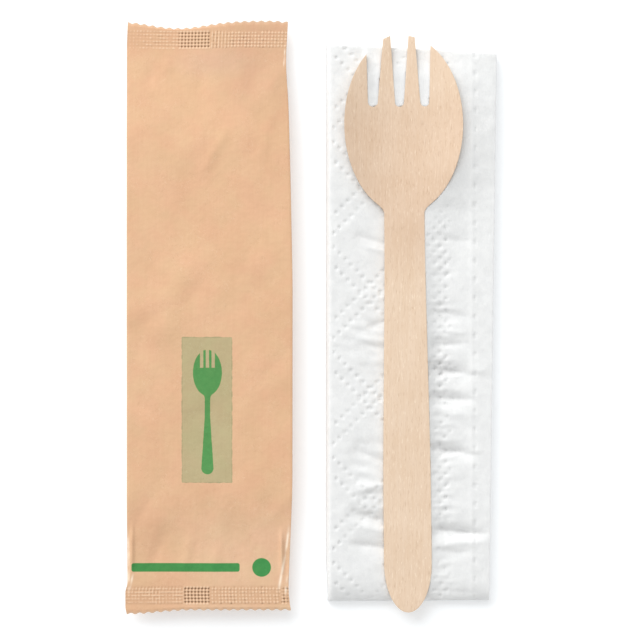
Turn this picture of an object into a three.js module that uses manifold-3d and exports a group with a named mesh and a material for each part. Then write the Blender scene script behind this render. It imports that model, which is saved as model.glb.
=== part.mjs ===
// A disposable cutlery set: a sealed pouch of kraft paper, and beside it a folded napkin with a wooden
// spork lying on it. Millimetres, +Z up. Everything lies flat, and the set is centred on the origin.
import * as THREE from "three";
import { mergeVertices } from "three/addons/utils/BufferGeometryUtils.js";
import Module from "manifold-3d";

const wasm = await Module();
wasm.setup();

// ---- Driving dimensions ----

// The spork, cut from one sheet of veneer and pressed. Its length sets the scale of the whole set.
const SPORK_LENGTH = 160;
const SPORK_THICKNESS = 1.6;
const HEAD_HALF_WIDTH = 16.4;
const HEAD_TO_TIP = 24.3; // from the widest place to the ends of the tines
const HEAD_TO_NECK = 25; // from the widest place to the foot of the same oval
const NECK_HALF_WIDTH = 5.55;
const NECK_FILLET = 2.4;
const HANDLE_HALF_WIDTH = 6.6;
const HANDLE_WIDEST = 26; // from the handle's end to where it is widest
const HANDLE_END_LENGTH = 13.6; // the half oval at the end
const CUP_HEIGHT = 3.4; // the head's two sides stand this much above its middle line
const CUP_FROM = 100; // the cupping begins at this distance from the handle's end
const CUP_FULL_FROM = 128;
const NECK_RISE = 1.2; // the handle arches this high between its end and the head
const NECK_RISE_Y = 100;
const TIP_RISE = 0.8; // the tines turn up this much at their ends
const SLOT_ROOT_FROM_TIP = 19.7;
const TINE_ROUND_LENGTH = 2.2; // the corners of the inner tines, rounded over this much of their length
const TINE_ROUND_WIDTH = 1.1;
// Each slot's middle and width at its root, then at its mouth. They sit a little left of the middle.
const SLOTS = [
  { rootX: -8.4, rootWidth: 2.8, mouthX: -7.9, mouthWidth: 4.6 },
  { rootX: -1, rootWidth: 2.5, mouthX: -1.1, mouthWidth: 5.7 },
  { rootX: 6, rootWidth: 2.5, mouthX: 5.55, mouthWidth: 4.6 },
];

// The napkin: one sheet, folded in half across and then into panels along its length.
const NAPKIN_WIDTH = 46.5;
const NAPKIN_LENGTH = 154.5;
const NAPKIN_PANELS = 6;
const TISSUE = 0.16; // two plies with their loft
const FOLD_SLIT = 0.08; // between the two halves of the sheet
const PANEL_GAP = 0.16; // between one panel and the next
const NAPKIN_FLARE = 0.022; // how much wider it is at the far end than in the middle, per half length
const NAPKIN_SLANT = 0.017; // how much shorter its right edge is than its left edge

// The pouch: a paper tube with a fin seal down its back and a crimped seal at each end.
const POUCH_LENGTH = 165;
const POUCH_LEFT = 22.9; // from the middle line to the left edge
const POUCH_RIGHT = 21.9; // to the right edge, before its bulge
const POUCH_BULGE = 1.15;
const BULGE_MIDDLE_Y = -18;
const BULGE_REACH = 75;
const SEAL_LENGTH = 8;
const SEAL_THICKNESS = 0.3;
const SEAL_HEIGHT = 4.0; // of the two seals above the table
const SHOULDER_LENGTH = 30; // over which the filled pouch thins down to the seal
const PILLOW_ABOVE = 2.3;
const PILLOW_BELOW = 4.1;
const PILLOW_SQUARENESS = 2.6; // 2 is an ellipse across, more is boxier
const TEETH = 20;
const TOOTH_DEPTH = 0.6;
const TOP_DIP = 2.1; // the top seal is pulled in over the contents here
const TOP_DIP_X = -8.7;
const TOP_DIP_REACH = 11;
const BOTTOM_RISE = 1.1; // the bottom seal's right half sits this much higher than its left corner
const BOTTOM_RISE_TO_X = -5; // right of here it has risen all the way
const FIN_WIDTH = 9;
const FIN_ROOT_X = 0.7;
const FIN_THICKNESS = 0.25;
const FIN_SLIT = 0.1;

// Where the pieces lie beside each other.
const POUCH_X = -28.2;
const NAPKIN_LEFT_X = 3.9;
const NAPKIN_BOTTOM_Y = -79.4;
const SPORK_END_X = 27;
const SPORK_END_Y = -81.9;
const SPORK_TURN = THREE.MathUtils.degToRad(0.6);
const REST_GAP = 0.3;

// ---- Shared helpers ----

// A closed body between an upper and a lower surface. Each surface gives a point for a place across
// and a place along, both from 0 to 1, and walls join the two borders.
function slab(columns, rows, upper, lower) {
  const points = [];
  for (const surface of [upper, lower]) {
    for (let j = 0; j <= rows; j += 1) {
      for (let i = 0; i <= columns; i += 1) {
        points.push(...surface(i / columns, j / rows));
      }
    }
  }
  const pointsPerSide = (columns + 1) * (rows + 1);
  const top = (i, j) => j * (columns + 1) + i;
  const under = (i, j) => pointsPerSide + top(i, j);
  const faces = [];
  const quad = (a, b, c, d) => faces.push(a, b, c, a, c, d);
  for (let j = 0; j < rows; j += 1) {
    for (let i = 0; i < columns; i += 1) {
      quad(top(i, j), top(i + 1, j), top(i + 1, j + 1), top(i, j + 1));
      quad(under(i, j), under(i, j + 1), under(i + 1, j + 1), under(i + 1, j));
    }
  }
  for (let i = 0; i < columns; i += 1) {
    quad(under(i, 0), under(i + 1, 0), top(i + 1, 0), top(i, 0));
    quad(top(i, rows), top(i + 1, rows), under(i + 1, rows), under(i, rows));
  }
  for (let j = 0; j < rows; j += 1) {
    quad(top(0, j), top(0, j + 1), under(0, j + 1), under(0, j));
    quad(top(columns, j), under(columns, j), under(columns, j + 1), top(columns, j + 1));
  }
  const geometry = new THREE.BufferGeometry();
  geometry.setAttribute("position", new THREE.Float32BufferAttribute(points, 3));
  geometry.setIndex(faces);
  return geometry;
}

function toSolid(geometry) {
  const bare = geometry.clone();
  bare.deleteAttribute("normal");
  bare.deleteAttribute("uv");
  const merged = mergeVertices(bare);
  return new wasm.Manifold(
    new wasm.Mesh({
      numProp: 3,
      vertProperties: merged.attributes.position.array,
      triVerts: new Uint32Array(merged.index.array),
    }),
  );
}

function toGeometry(solid) {
  const mesh = solid.getMesh();
  const geometry = new THREE.BufferGeometry();
  geometry.setAttribute("position", new THREE.BufferAttribute(mesh.vertProperties, 3));
  geometry.setIndex(new THREE.BufferAttribute(mesh.triVerts, 1));
  geometry.computeVertexNormals();
  return geometry;
}

function pieceOf(name, geometry, colour, roughness) {
  const material = new THREE.MeshStandardMaterial({ color: colour, roughness, metalness: 0 });
  const mesh = new THREE.Mesh(geometry, material);
  mesh.name = name;
  return mesh;
}

// ---- The wooden spork: y runs from the handle's end to the tips of the tines ----

const HEAD_Y = SPORK_LENGTH - HEAD_TO_TIP;
const NECK_Y = HEAD_Y - HEAD_TO_NECK;

function headReach(y) {
  return y > HEAD_Y ? HEAD_TO_TIP : HEAD_TO_NECK;
}

// The half width of a half oval that is widest at its middle.
function ovalHalfWidth(widest, distance, reach) {
  return widest * Math.sqrt(Math.max(0, 1 - (distance / reach) ** 2));
}

function handleHalfWidth(y) {
  if (y < HANDLE_END_LENGTH) {
    return ovalHalfWidth(HANDLE_HALF_WIDTH, HANDLE_END_LENGTH - y, HANDLE_END_LENGTH);
  }
  const narrowing = THREE.MathUtils.smoothstep(y, HANDLE_WIDEST, NECK_Y);
  return THREE.MathUtils.lerp(HANDLE_HALF_WIDTH, NECK_HALF_WIDTH, narrowing);
}

// The wider of the head and the handle, with a fillet where they meet.
function sporkHalfWidth(y) {
  const head = ovalHalfWidth(HEAD_HALF_WIDTH, y - HEAD_Y, headReach(y));
  if (y > HEAD_Y) {
    return head;
  }
  const handle = handleHalfWidth(y);
  const blend = Math.max(0, NECK_FILLET - Math.abs(head - handle)) / NECK_FILLET;
  return Math.max(head, handle) + (blend * blend * NECK_FILLET) / 4;
}

// The height of the upper face. The head is cupped across, the handle is a low arch, and the spork
// rests on the handle's end and the middle of the head.
function sporkHeight(x, y) {
  const { smoothstep } = THREE.MathUtils;
  const cup = CUP_HEIGHT * (x / HEAD_HALF_WIDTH) ** 2 * smoothstep(y, CUP_FROM, CUP_FULL_FROM);
  const arch = NECK_RISE * (smoothstep(y, 0, NECK_RISE_Y) - smoothstep(y, NECK_RISE_Y, HEAD_Y));
  const upturn = TIP_RISE * smoothstep(y, HEAD_Y, SPORK_LENGTH);
  return SPORK_THICKNESS + cup + arch + upturn;
}

// Rows crowd together where the outline is round and spread out along the handle.
function sporkRows() {
  const bluntEnd = 0.09; // radians: the two ends stop just short of a point
  const endRows = 9;
  const handleRows = 22;
  const headRows = 30;
  const ys = [];
  for (let k = 0; k < endRows; k += 1) {
    const angle = THREE.MathUtils.mapLinear(k, 0, endRows, bluntEnd, Math.PI / 2);
    ys.push(HANDLE_END_LENGTH * (1 - Math.cos(angle)));
  }
  for (let k = 0; k < handleRows; k += 1) {
    ys.push(THREE.MathUtils.mapLinear(k, 0, handleRows, HANDLE_END_LENGTH, NECK_Y));
  }
  for (let k = 0; k <= headRows; k += 1) {
    const angle = THREE.MathUtils.mapLinear(k, 0, headRows, Math.PI, bluntEnd);
    const y = HEAD_Y + Math.cos(angle);
    ys.push(HEAD_Y + Math.cos(angle) * headReach(y));
  }
  return ys;
}

function slotCutter({ rootX, rootWidth, mouthX, mouthWidth }) {
  const rootY = SPORK_LENGTH - SLOT_ROOT_FROM_TIP + rootWidth / 2;
  const roundY = SPORK_LENGTH - TINE_ROUND_LENGTH;
  const left = mouthX - mouthWidth / 2;
  const right = mouthX + mouthWidth / 2;
  const outline = new THREE.Shape();
  outline.moveTo(right + TINE_ROUND_WIDTH, SPORK_LENGTH + 1);
  outline.lineTo(left - TINE_ROUND_WIDTH, SPORK_LENGTH + 1);
  outline.lineTo(left - TINE_ROUND_WIDTH, SPORK_LENGTH);
  outline.quadraticCurveTo(left, SPORK_LENGTH, left, roundY);
  outline.absarc(rootX, rootY, rootWidth / 2, Math.PI, 2 * Math.PI, false);
  outline.lineTo(right, roundY);
  outline.quadraticCurveTo(right, SPORK_LENGTH, right + TINE_ROUND_WIDTH, SPORK_LENGTH);
  const height = 4 * CUP_HEIGHT;
  const options = { depth: height, bevelEnabled: false, curveSegments: 10 };
  return new THREE.ExtrudeGeometry(outline, options).translate(0, 0, -height / 4);
}

function sporkGeometry() {
  const ys = sporkRows();
  const last = ys.length - 1;
  const surface = (drop) => (across, along) => {
    const y = ys[Math.round(along * last)];
    const x = (2 * across - 1) * sporkHalfWidth(y);
    return [x, y, sporkHeight(x, y) - drop];
  };
  const columns = 12;
  let solid = toSolid(slab(columns, last, surface(0), surface(SPORK_THICKNESS)));
  for (const slot of SLOTS) {
    solid = solid.subtract(toSolid(slotCutter(slot)));
  }
  return toGeometry(solid);
}

// ---- The folded napkin: x runs right from its left folds, y from its folded end ----

const LEAF = 2 * TISSUE + FOLD_SLIT; // both halves of the sheet, lying together
const PITCH = LEAF + PANEL_GAP; // from one panel to the next
const NAPKIN_HEIGHT = (NAPKIN_PANELS - 1) * PITCH + LEAF;

// The section of a band that goes back and forth through the panels: out along one side of the
// sheet's middle and back along the other. Its two loose ends are on the right, and overrun them.
function foldedBand(thickness, overrun) {
  const half = thickness / 2;
  const foldRadius = PITCH / 2;
  const left = foldRadius + LEAF / 2;
  const right = NAPKIN_WIDTH - left;
  const heightOf = (panel) => LEAF / 2 + panel * PITCH;
  const topPanel = NAPKIN_PANELS - 1;
  const outline = new THREE.Shape();
  outline.moveTo(NAPKIN_WIDTH + overrun, heightOf(0) - half);
  for (let panel = 0; panel < topPanel; panel += 1) {
    const middle = heightOf(panel) + foldRadius;
    if (panel % 2 === 0) {
      outline.absarc(left, middle, foldRadius + half, 1.5 * Math.PI, 0.5 * Math.PI, true);
    } else {
      outline.absarc(right, middle, foldRadius - half, -0.5 * Math.PI, 0.5 * Math.PI, false);
    }
  }
  outline.lineTo(NAPKIN_WIDTH + overrun, heightOf(topPanel) + half);
  outline.lineTo(NAPKIN_WIDTH + overrun, heightOf(topPanel) - half);
  for (let panel = topPanel - 1; panel >= 0; panel -= 1) {
    const middle = heightOf(panel) + foldRadius;
    if (panel % 2 === 0) {
      outline.absarc(left, middle, foldRadius - half, 0.5 * Math.PI, 1.5 * Math.PI, false);
    } else {
      outline.absarc(right, middle, foldRadius + half, 0.5 * Math.PI, -0.5 * Math.PI, true);
    }
  }
  outline.lineTo(NAPKIN_WIDTH + overrun, heightOf(0) + half);
  return outline;
}

// A band pulled out along y, from one end to the other.
function bandAlong(outline, start, end) {
  const options = { depth: end - start, bevelEnabled: false, curveSegments: 8 };
  return new THREE.ExtrudeGeometry(outline, options).rotateX(Math.PI / 2).translate(0, end, 0);
}

function napkinGeometry() {
  const sheet = toSolid(bandAlong(foldedBand(LEAF, 0), 0, NAPKIN_LENGTH));
  // The slit stops a sheet's thickness short of the near end, where the two halves are one fold.
  const slit = toSolid(bandAlong(foldedBand(FOLD_SLIT, 1), TISSUE, NAPKIN_LENGTH + 1));
  const geometry = toGeometry(sheet.subtract(slit));
  const position = geometry.getAttribute("position");
  for (let k = 0; k < position.count; k += 1) {
    const across = position.getX(k) / NAPKIN_WIDTH;
    const along = (2 * position.getY(k)) / NAPKIN_LENGTH - 1;
    position.setX(k, position.getX(k) * (1 + NAPKIN_FLARE * along));
    position.setY(k, (NAPKIN_LENGTH / 2) * (1 + along * (1 - NAPKIN_SLANT * across)));
  }
  geometry.computeVertexNormals();
  return geometry;
}

// ---- The kraft pouch: x = 0 is its middle line and y = 0 is halfway along ----

const UNDERSIDE = FIN_THICKNESS + FIN_SLIT; // the back lies on the fin

function pouchRight(y) {
  return POUCH_RIGHT + POUCH_BULGE * (1 - ((y - BULGE_MIDDLE_Y) / BULGE_REACH) ** 2);
}

// How far an end is pulled in along y, which fades out towards the middle of the pouch.
function endPull(x, y) {
  const fade = THREE.MathUtils.smoothstep(Math.abs(y), POUCH_LENGTH / 4, POUCH_LENGTH / 2 - SEAL_LENGTH);
  const dip = -TOP_DIP * Math.exp(-(((x - TOP_DIP_X) / TOP_DIP_REACH) ** 2));
  const rise = BOTTOM_RISE * THREE.MathUtils.smoothstep(x, -POUCH_LEFT, BOTTOM_RISE_TO_X);
  return fade * (y > 0 ? dip : rise);
}

// How full the pouch is at a place: 0 on the seals and side edges, nearly 1 over the contents.
function fullness(x, y) {
  const right = pouchRight(y);
  const across = (2 * x + POUCH_LEFT - right) / (POUCH_LEFT + right);
  const round = Math.sqrt(Math.max(0, 1 - Math.abs(across) ** PILLOW_SQUARENESS));
  const fromSeal = POUCH_LENGTH / 2 - SEAL_LENGTH - Math.abs(y);
  return round * THREE.MathUtils.smoothstep(fromSeal, 0, SHOULDER_LENGTH);
}

function pouchTop(x, y) {
  return SEAL_HEIGHT + SEAL_THICKNESS / 2 + PILLOW_ABOVE * fullness(x, y);
}

function pouchBack(x, y) {
  const sagging = SEAL_HEIGHT - SEAL_THICKNESS / 2 - PILLOW_BELOW * fullness(x, y);
  return Math.max(UNDERSIDE, sagging);
}

// Two columns make one tooth of the pinked ends, so every other point there is drawn in.
function pouchSurface(height) {
  const columns = 2 * TEETH;
  return (across, along) => {
    const y = (along - 0.5) * POUCH_LENGTH;
    const x = THREE.MathUtils.lerp(-POUCH_LEFT, pouchRight(y), across);
    const atEnd = along === 0 || along === 1;
    const notch = atEnd && Math.round(across * columns) % 2 === 1 ? TOOTH_DEPTH : 0;
    return [x, y - Math.sign(y) * notch + endPull(x, y), height(x, y)];
  };
}

// The fin seal, folded flat under the back. Only its root, on the right, is joined to the back.
function finSurface(below) {
  return (across, along) => {
    const y = (along - 0.5) * (POUCH_LENGTH - SEAL_LENGTH);
    const x = FIN_ROOT_X - FIN_WIDTH * (1 - across);
    const joined = across === 1 && below === FIN_SLIT;
    const drop = joined ? -SEAL_THICKNESS / 2 : below;
    return [x, y + endPull(x, y), pouchBack(x, y) - drop];
  };
}

function pouchGeometry() {
  const rows = 44;
  const finColumns = 8;
  const shell = toSolid(slab(2 * TEETH, rows, pouchSurface(pouchTop), pouchSurface(pouchBack)));
  const fin = toSolid(slab(finColumns, rows, finSurface(FIN_SLIT), finSurface(UNDERSIDE)));
  return toGeometry(shell.add(fin));
}

// ---- The set ----

const pouch = pieceOf("kraft_pouch", pouchGeometry(), 0xebc099, 0.7);
pouch.position.set(POUCH_X, 0, 0);

const napkin = pieceOf("folded_napkin", napkinGeometry(), 0xf0f1f2, 0.95);
napkin.position.set(NAPKIN_LEFT_X, NAPKIN_BOTTOM_Y, 0);

const spork = pieceOf("wooden_spork", sporkGeometry(), 0xe6cdb2, 0.6);
spork.position.set(SPORK_END_X, SPORK_END_Y, NAPKIN_HEIGHT + REST_GAP);
spork.rotation.z = SPORK_TURN;

const pieces = new THREE.Group();
pieces.add(pouch, napkin, spork);

// The middle of the set's outline, at the level that it lies on, is the origin.
const box = new THREE.Box3().setFromObject(pieces, true);
const middle = box.getCenter(new THREE.Vector3());
pieces.position.set(-middle.x, -middle.y, -box.min.z);

const cutleryPack = new THREE.Group();
cutleryPack.add(pieces);

export default cutleryPack;
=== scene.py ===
# %% [markdown]
# # A disposable cutlery set
# A sealed pouch of kraft paper lies beside a folded tissue napkin with a pressed wooden spork on it.
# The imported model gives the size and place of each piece. This lesson makes what a camera would see:
# paper that has been crimped and creased, tissue that has been embossed and folded, and veneer that has
# been cut, rounded and pressed. Lengths are named in millimetres and turned into metres with MM.

import math

import bpy
import numpy as np
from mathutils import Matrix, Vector, noise


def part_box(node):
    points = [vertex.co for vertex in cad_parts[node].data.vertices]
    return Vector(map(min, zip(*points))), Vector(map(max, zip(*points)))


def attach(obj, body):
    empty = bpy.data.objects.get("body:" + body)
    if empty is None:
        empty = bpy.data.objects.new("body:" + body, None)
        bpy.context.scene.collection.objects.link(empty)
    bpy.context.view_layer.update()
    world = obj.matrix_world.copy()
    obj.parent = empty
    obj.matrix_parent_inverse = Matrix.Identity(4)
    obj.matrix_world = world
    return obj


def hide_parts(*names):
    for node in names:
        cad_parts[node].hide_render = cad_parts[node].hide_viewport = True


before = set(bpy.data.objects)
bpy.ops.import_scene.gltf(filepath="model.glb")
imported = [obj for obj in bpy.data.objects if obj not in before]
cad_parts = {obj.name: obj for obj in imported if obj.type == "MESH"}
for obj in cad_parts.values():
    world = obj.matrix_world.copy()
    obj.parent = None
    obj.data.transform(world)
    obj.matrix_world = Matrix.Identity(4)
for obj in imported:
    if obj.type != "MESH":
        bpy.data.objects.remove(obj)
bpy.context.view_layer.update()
MM = 0.001
print("nodes:", sorted(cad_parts))

# %% [markdown]
# ## The camera
# The set is seen from straight above, the way that flat goods are usually shown. A long lens keeps the
# sides of the pieces out of sight. With no rotation a camera looks down, with +Y at the top of the view.

# %% Camera
VIEW_WIDTH = 177.8 * MM
LENS = 150
SENSOR = 36
VIEW_MIDDLE = Vector((2.3, -0.75, 4)) * MM

bpy.ops.object.select_all(action="DESELECT")
camera_height = VIEW_WIDTH * LENS / SENSOR
bpy.ops.object.camera_add(location=VIEW_MIDDLE + Vector((0, 0, camera_height)), rotation=(0, 0, 0))
camera = bpy.context.object
camera.name = "camera_above"
camera.data.lens = LENS
camera.data.sensor_width = SENSOR
camera.data.clip_start = 0.01
bpy.context.scene.camera = camera
bpy.context.scene.view_settings.view_transform = "Standard"
print("camera", round(camera_height, 3), "m up")

# %% [markdown]
# ## Helpers for the modelling
# Every piece starts as a primitive and is shaped in edit mode. A piece of paper or tissue is shaped by a
# formula: the helper below reads all the points of a mesh at once, and a function gives them their place.

# %% Modelling helpers
def start_alone():
    """Leaves edit mode with nothing selected, so that the next operator acts on new work only."""
    if bpy.context.object and bpy.context.object.mode == "EDIT":
        bpy.ops.object.mode_set(mode="OBJECT")
    bpy.ops.object.select_all(action="DESELECT")


def make_active(piece):
    start_alone()
    piece.select_set(True)
    bpy.context.view_layer.objects.active = piece


def points_of(piece):
    places = np.empty(len(piece.data.vertices) * 3)
    piece.data.vertices.foreach_get("co", places)
    return places.reshape(-1, 3)


def set_points(piece, places):
    piece.data.vertices.foreach_set("co", places.ravel())
    piece.data.update()


def apply_modifier(piece, kind, **settings):
    make_active(piece)
    modifier = piece.modifiers.new(kind.lower(), kind)
    for name, value in settings.items():
        setattr(modifier, name, value)
    bpy.ops.object.modifier_apply(modifier=modifier.name)


def select_in_edit(piece, kind, wanted):
    """Selects in edit mode the points, edges or faces for which wanted(item) is true, and counts them."""
    make_active(piece)
    bpy.ops.object.mode_set(mode="EDIT")
    bpy.ops.mesh.select_mode(type=kind)
    bpy.ops.mesh.select_all(action="DESELECT")
    bpy.ops.object.mode_set(mode="OBJECT")
    mesh = piece.data
    count = 0
    for item in {"VERT": mesh.vertices, "EDGE": mesh.edges, "FACE": mesh.polygons}[kind]:
        item.select = bool(wanted(item))
        count += item.select
    bpy.ops.object.mode_set(mode="EDIT")
    return count


# %% Noise and creases
def noise_at(x, y, size, seed):
    """Smooth noise, about -1 to 1, for arrays of places in millimetres."""
    return np.array([noise.noise((a / size, b / size, seed)) for a, b in zip(x, y)])


def smooth_step(value, low, high):
    part = np.clip((value - low) / (high - low), 0, 1)
    return part * part * (3 - 2 * part)


def line_places(x, y, start, end):
    """How far each place is past a line's start, as a share of its length, how far it is to the left of
    the line, and how much the line runs towards +X."""
    start = np.array(start, float)
    along = np.array(end, float) - start
    length = np.hypot(*along)
    along = along / length
    ahead = ((x - start[0]) * along[0] + (y - start[1]) * along[1]) / length
    aside = (y - start[1]) * along[0] - (x - start[0]) * along[1]
    return ahead, aside, along[0]


def crease(x, y, start, end, width, height):
    """A soft ridge, or a valley if height is negative, along a line, fading at the line's two ends."""
    ahead, aside, _ = line_places(x, y, start, end)
    fade = smooth_step(ahead, -0.15, 0.25) * smooth_step(ahead, 1.15, 0.75)
    return height * fade * np.exp(-((aside / width) ** 2))


STEEP_SIDE, EASY_SIDE = 1.1, 1.5  # how wide a sharp crease's two sides are
BLUNTNESS = 0.12  # rounds the very bottom of it


def sharp_crease(x, y, start, end, width, height):
    """A crease with a sharp bottom and a steeper side in shade, widest at its start, pinched at its end."""
    ahead, aside, rightwards = line_places(x, y, start, end)
    sides = np.where(-aside * rightwards * height > 0, STEEP_SIDE, EASY_SIDE)
    narrowed = width * np.clip(1.15 - 0.65 * ahead, 0.4, 1.2) * sides
    fade = smooth_step(ahead, -0.15, 0.1) * smooth_step(ahead, 1.05, 0.6)
    return height * fade * np.exp(0.35 - np.sqrt((1.3 * aside / narrowed) ** 2 + BLUNTNESS))


middle = crease(np.array([5.0]), np.array([0.0]), (0, 0), (10, 0), width=1.0, height=0.3)
print("a crease of 0.3 mm, at its middle:", middle)


# %% Starting and describing a piece
def new_grid(name, columns, rows):
    """A flat grid of one unit by one, with its middle at the origin."""
    start_alone()
    bpy.ops.mesh.primitive_grid_add(x_subdivisions=columns, y_subdivisions=rows, size=1, location=(0, 0, 0))
    piece = bpy.context.object
    piece.name = name
    return piece


def describe(piece):
    triangles = sum(len(face.vertices) - 2 for face in piece.data.polygons)
    size = [round(v / MM, 1) for v in piece.dimensions]
    print(f"{piece.name}: {triangles} triangles, {size} mm")


# %% [markdown]
# ## The pouch
# The real pouch is one strip of kraft paper, made into a tube round its contents. A fin seal closes it
# down the back, and two hot jaws crimp its ends with rows of small dots, while a saw-edged knife cuts
# them. It could be made by simulating cloth, but paper hardly stretches and the creases would be
# somewhere else each time. So a fine grid is extruded into a thin slab, its front and its back, and
# formulas give the slab its outline, its filling, its creases and its crimps.

# %% Sizes of the pouch
pouch_low, pouch_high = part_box("kraft_pouch")
POUCH_LENGTH = (pouch_high.y - pouch_low.y) / MM
POUCH_LEFT = 22.9  # from the middle line to the left edge
POUCH_MIDDLE_X = pouch_low.x / MM + POUCH_LEFT
SEAL_HEIGHT = 4.0  # of the two end seals above the table
NEAR_SEAL_RISE = 0.7  # how much higher the near seal stands
SEAL_THICKNESS = 0.24
UNDERSIDE = 0.36  # of the back, which lies on the fin seal
FRONT_SWELL = 2.3  # how far the contents push the front up, above the seals
BACK_SWELL = 4.1  # and how far the back lies below them
SHOULDER = 30  # the length over which the pouch fills, from a seal
RELIEF_STARTS, RELIEF_FULL = 0.015, 0.3  # how full the pouch is where its creases start, and stand full
DOT_PRESS = 0.2  # the depth of a deep dot
DOT_COLUMNS = 48
DOT_ROWS = 5
DOT_PITCH_Y = 0.92
PLAIN_STRIP = 2.95  # between the cut end and the first row of dots
POINTS_PER_DOT = 4
TOOTH_COLUMNS = 10
COLUMNS = DOT_COLUMNS * POINTS_PER_DOT
TOOTH_DEPTH = 0.42
EDGE_COLUMN = 0.3  # of a column's width: the first and last points lie close to the side folds
BODY_STEP = 1.0  # between the rows of points over the filled part
FRONT_SQUARENESS = 700  # how flat the front stays before it turns down at the side folds
BACK_SQUARENESS = 16  # the back curves up to them sooner
FIN_LEFT, FIN_RIGHT = -8.2, -0.1
FIN_SHIFT = 1.5  # how far right its left edge lies in the near seal
# The outline: places along the pouch, and the edge's distance from the middle line there.
RIGHT_EDGE = [(-82.5, 22.9), (-79.5, 22.0), (-74, 21.9), (-63, 22.4), (-48, 23.0), (10, 23.05), (38, 22.5)]
RIGHT_EDGE += [(60, 21.9), (70, 21.15), (75, 21.3), (82.5, 21.85)]
LEFT_EDGE = [(-82.5, -22.9), (-81, -23.35), (-75.6, -23.35), (-74.4, -22.75), (-60, -22.9)]
LEFT_EDGE += [(76, -22.95), (82.5, -22.7)]
RIGHT_SOFTNESS, LEFT_SOFTNESS = 4.0, 0.9  # how far its corners are eased


def pouch_rows():
    """Distances along the pouch: close together over the dots, wider over the filled part."""
    half = POUCH_LENGTH / 2
    dots_end = PLAIN_STRIP + DOT_ROWS * DOT_PITCH_Y
    strip = np.linspace(0, PLAIN_STRIP, 7)
    dots = np.linspace(PLAIN_STRIP, dots_end, DOT_ROWS * POINTS_PER_DOT + 1)[1:]
    shoulder = dots_end + np.linspace(0.3, 2.4, 6)
    body = half - shoulder[-1]
    inner = np.linspace(-body, body, round(2 * body / BODY_STEP) + 1)
    from_end = np.concatenate([strip, dots, shoulder[:-1]])
    return np.concatenate([-half + from_end, inner, (half - from_end)[::-1]])


ROW_PLACES = pouch_rows()
print("pouch grid:", COLUMNS, "by", len(ROW_PLACES) - 1)


# %% The outline and the filling of the pouch
def edge_through(stations, y, softness):
    """The edge's place at y, through stations (y, x), with its corners eased over a softness."""
    ys, xs = np.array(stations).T
    return np.mean([np.interp(y + shift, ys, xs) for shift in np.linspace(-softness, softness, 9)], axis=0)


def pouch_edges(y):
    return edge_through(LEFT_EDGE, y, LEFT_SOFTNESS), edge_through(RIGHT_EDGE, y, RIGHT_SOFTNESS)


def end_pull(x, y):
    """How far the cut ends are off the straight. The rows of dots follow it only a little."""
    from_end = POUCH_LENGTH / 2 - np.abs(y)
    at_rim = 0.1 + 0.9 * smooth_step(from_end, PLAIN_STRIP, 0)
    dip = -2.1 * np.exp(-(((x + 8.7) / 11) ** 2)) - 0.3 * smooth_step(x, 17, 22)
    rise = 1.1 * smooth_step(x, -POUCH_LEFT, -5)
    fade = smooth_step(from_end, POUCH_LENGTH / 4, 8)
    return fade * at_rim * np.where(y > 0, dip, rise)


def fullness(across, y, squareness):
    """0 on the seals and the side edges, and nearly 1 over the contents."""
    round_sides = np.sqrt(np.maximum(0, 1 - np.abs(across) ** squareness))
    from_seal = POUCH_LENGTH / 2 - PLAIN_STRIP - DOT_ROWS * DOT_PITCH_Y - np.abs(y)
    return round_sides * smooth_step(from_seal, -1, SHOULDER) ** 0.8


def seal_lift(x, y):
    """How far a seal is off its even height: a slow wave, a bent rim, and the near seal's rise."""
    from_end = POUCH_LENGTH / 2 - np.abs(y)
    wave = 0.3 * noise_at(x, y * 0.4, 13, 1.5) - 0.2 * smooth_step(from_end, 1.3, 0)
    return wave + NEAR_SEAL_RISE * smooth_step(from_end, 24, 9) * (y < 0)


for place in (-60.0, 0.0, 60.0):
    print("width at", place, "along:", round(float(np.diff(pouch_edges(place))[0]), 1), "mm")

# %% [markdown]
# ### Creases
# Thin paper bends along straight lines and stays almost flat between them. Broad noise gives the slow
# swell over the contents, folded noise gives the sharp little ridges, and a short list of creases gives
# the pleats that fan out from the two seals, where the flat ends force the round tube to gather. Beside
# the near seal the side folds are creased hard, and pale highlights are painted along these and a few other
# creases.

# %% The pleats and the painted fold highlights
PLEATS = [
    # start, end, width, height, from the middle of the pouch
    ((-11.5, 75), (-12.0, 68), 1.2, 0.3),
    ((-14.5, 74), (-17, 64), 1.8, -0.22),
    ((-21, 68), (-6, 42), 3.4, 0.34),
    ((-1, 74), (-3, 62), 2.2, -0.22),
    ((7, 74), (9, 60), 2.2, 0.2),
    ((15, 74), (11, 60), 2.4, -0.24),
    ((20, 72), (17, 62), 1.8, 0.18),
    ((5, 52), (-2, 40), 1.6, 0.26),
    ((18, 58), (14, 44), 1.8, 0.22),
    ((-18, -75), (-12, -58), 1.7, -0.24),
    ((-8, -75), (-5, -60), 1.5, 0.28),
    ((1, -75), (2, -64), 1.4, 0.26),
    ((10, -75), (5, -55), 2.0, -0.24),
    ((18, -74), (12, -52), 2.2, 0.3),
    ((20.2, -75), (19.9, -60), 0.55, 0.85),
    ((-21.6, -74), (-21.4, -58), 0.6, 0.6),
    ((21.4, -75), (21.0, -63), 0.4, -0.4),
]
HIGHLIGHT_FOLDS = [
    # start, end, width of each hard crease along the side folds that gets a painted highlight
    ((-22.55, -60.5), (-22.45, -76), 0.32),
    ((-21.3, -71.5), (-22.1, -75.5), 0.26),
    ((22.0, -58.5), (20.9, -67.5), 0.3),
    ((21.0, -66.0), (19.2, -75.6), 0.32),
    ((21.5, -71.5), (21.1, -77.0), 0.26),
    ((20.9, 74.5), (20.6, 70.0), 0.15),
]


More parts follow.
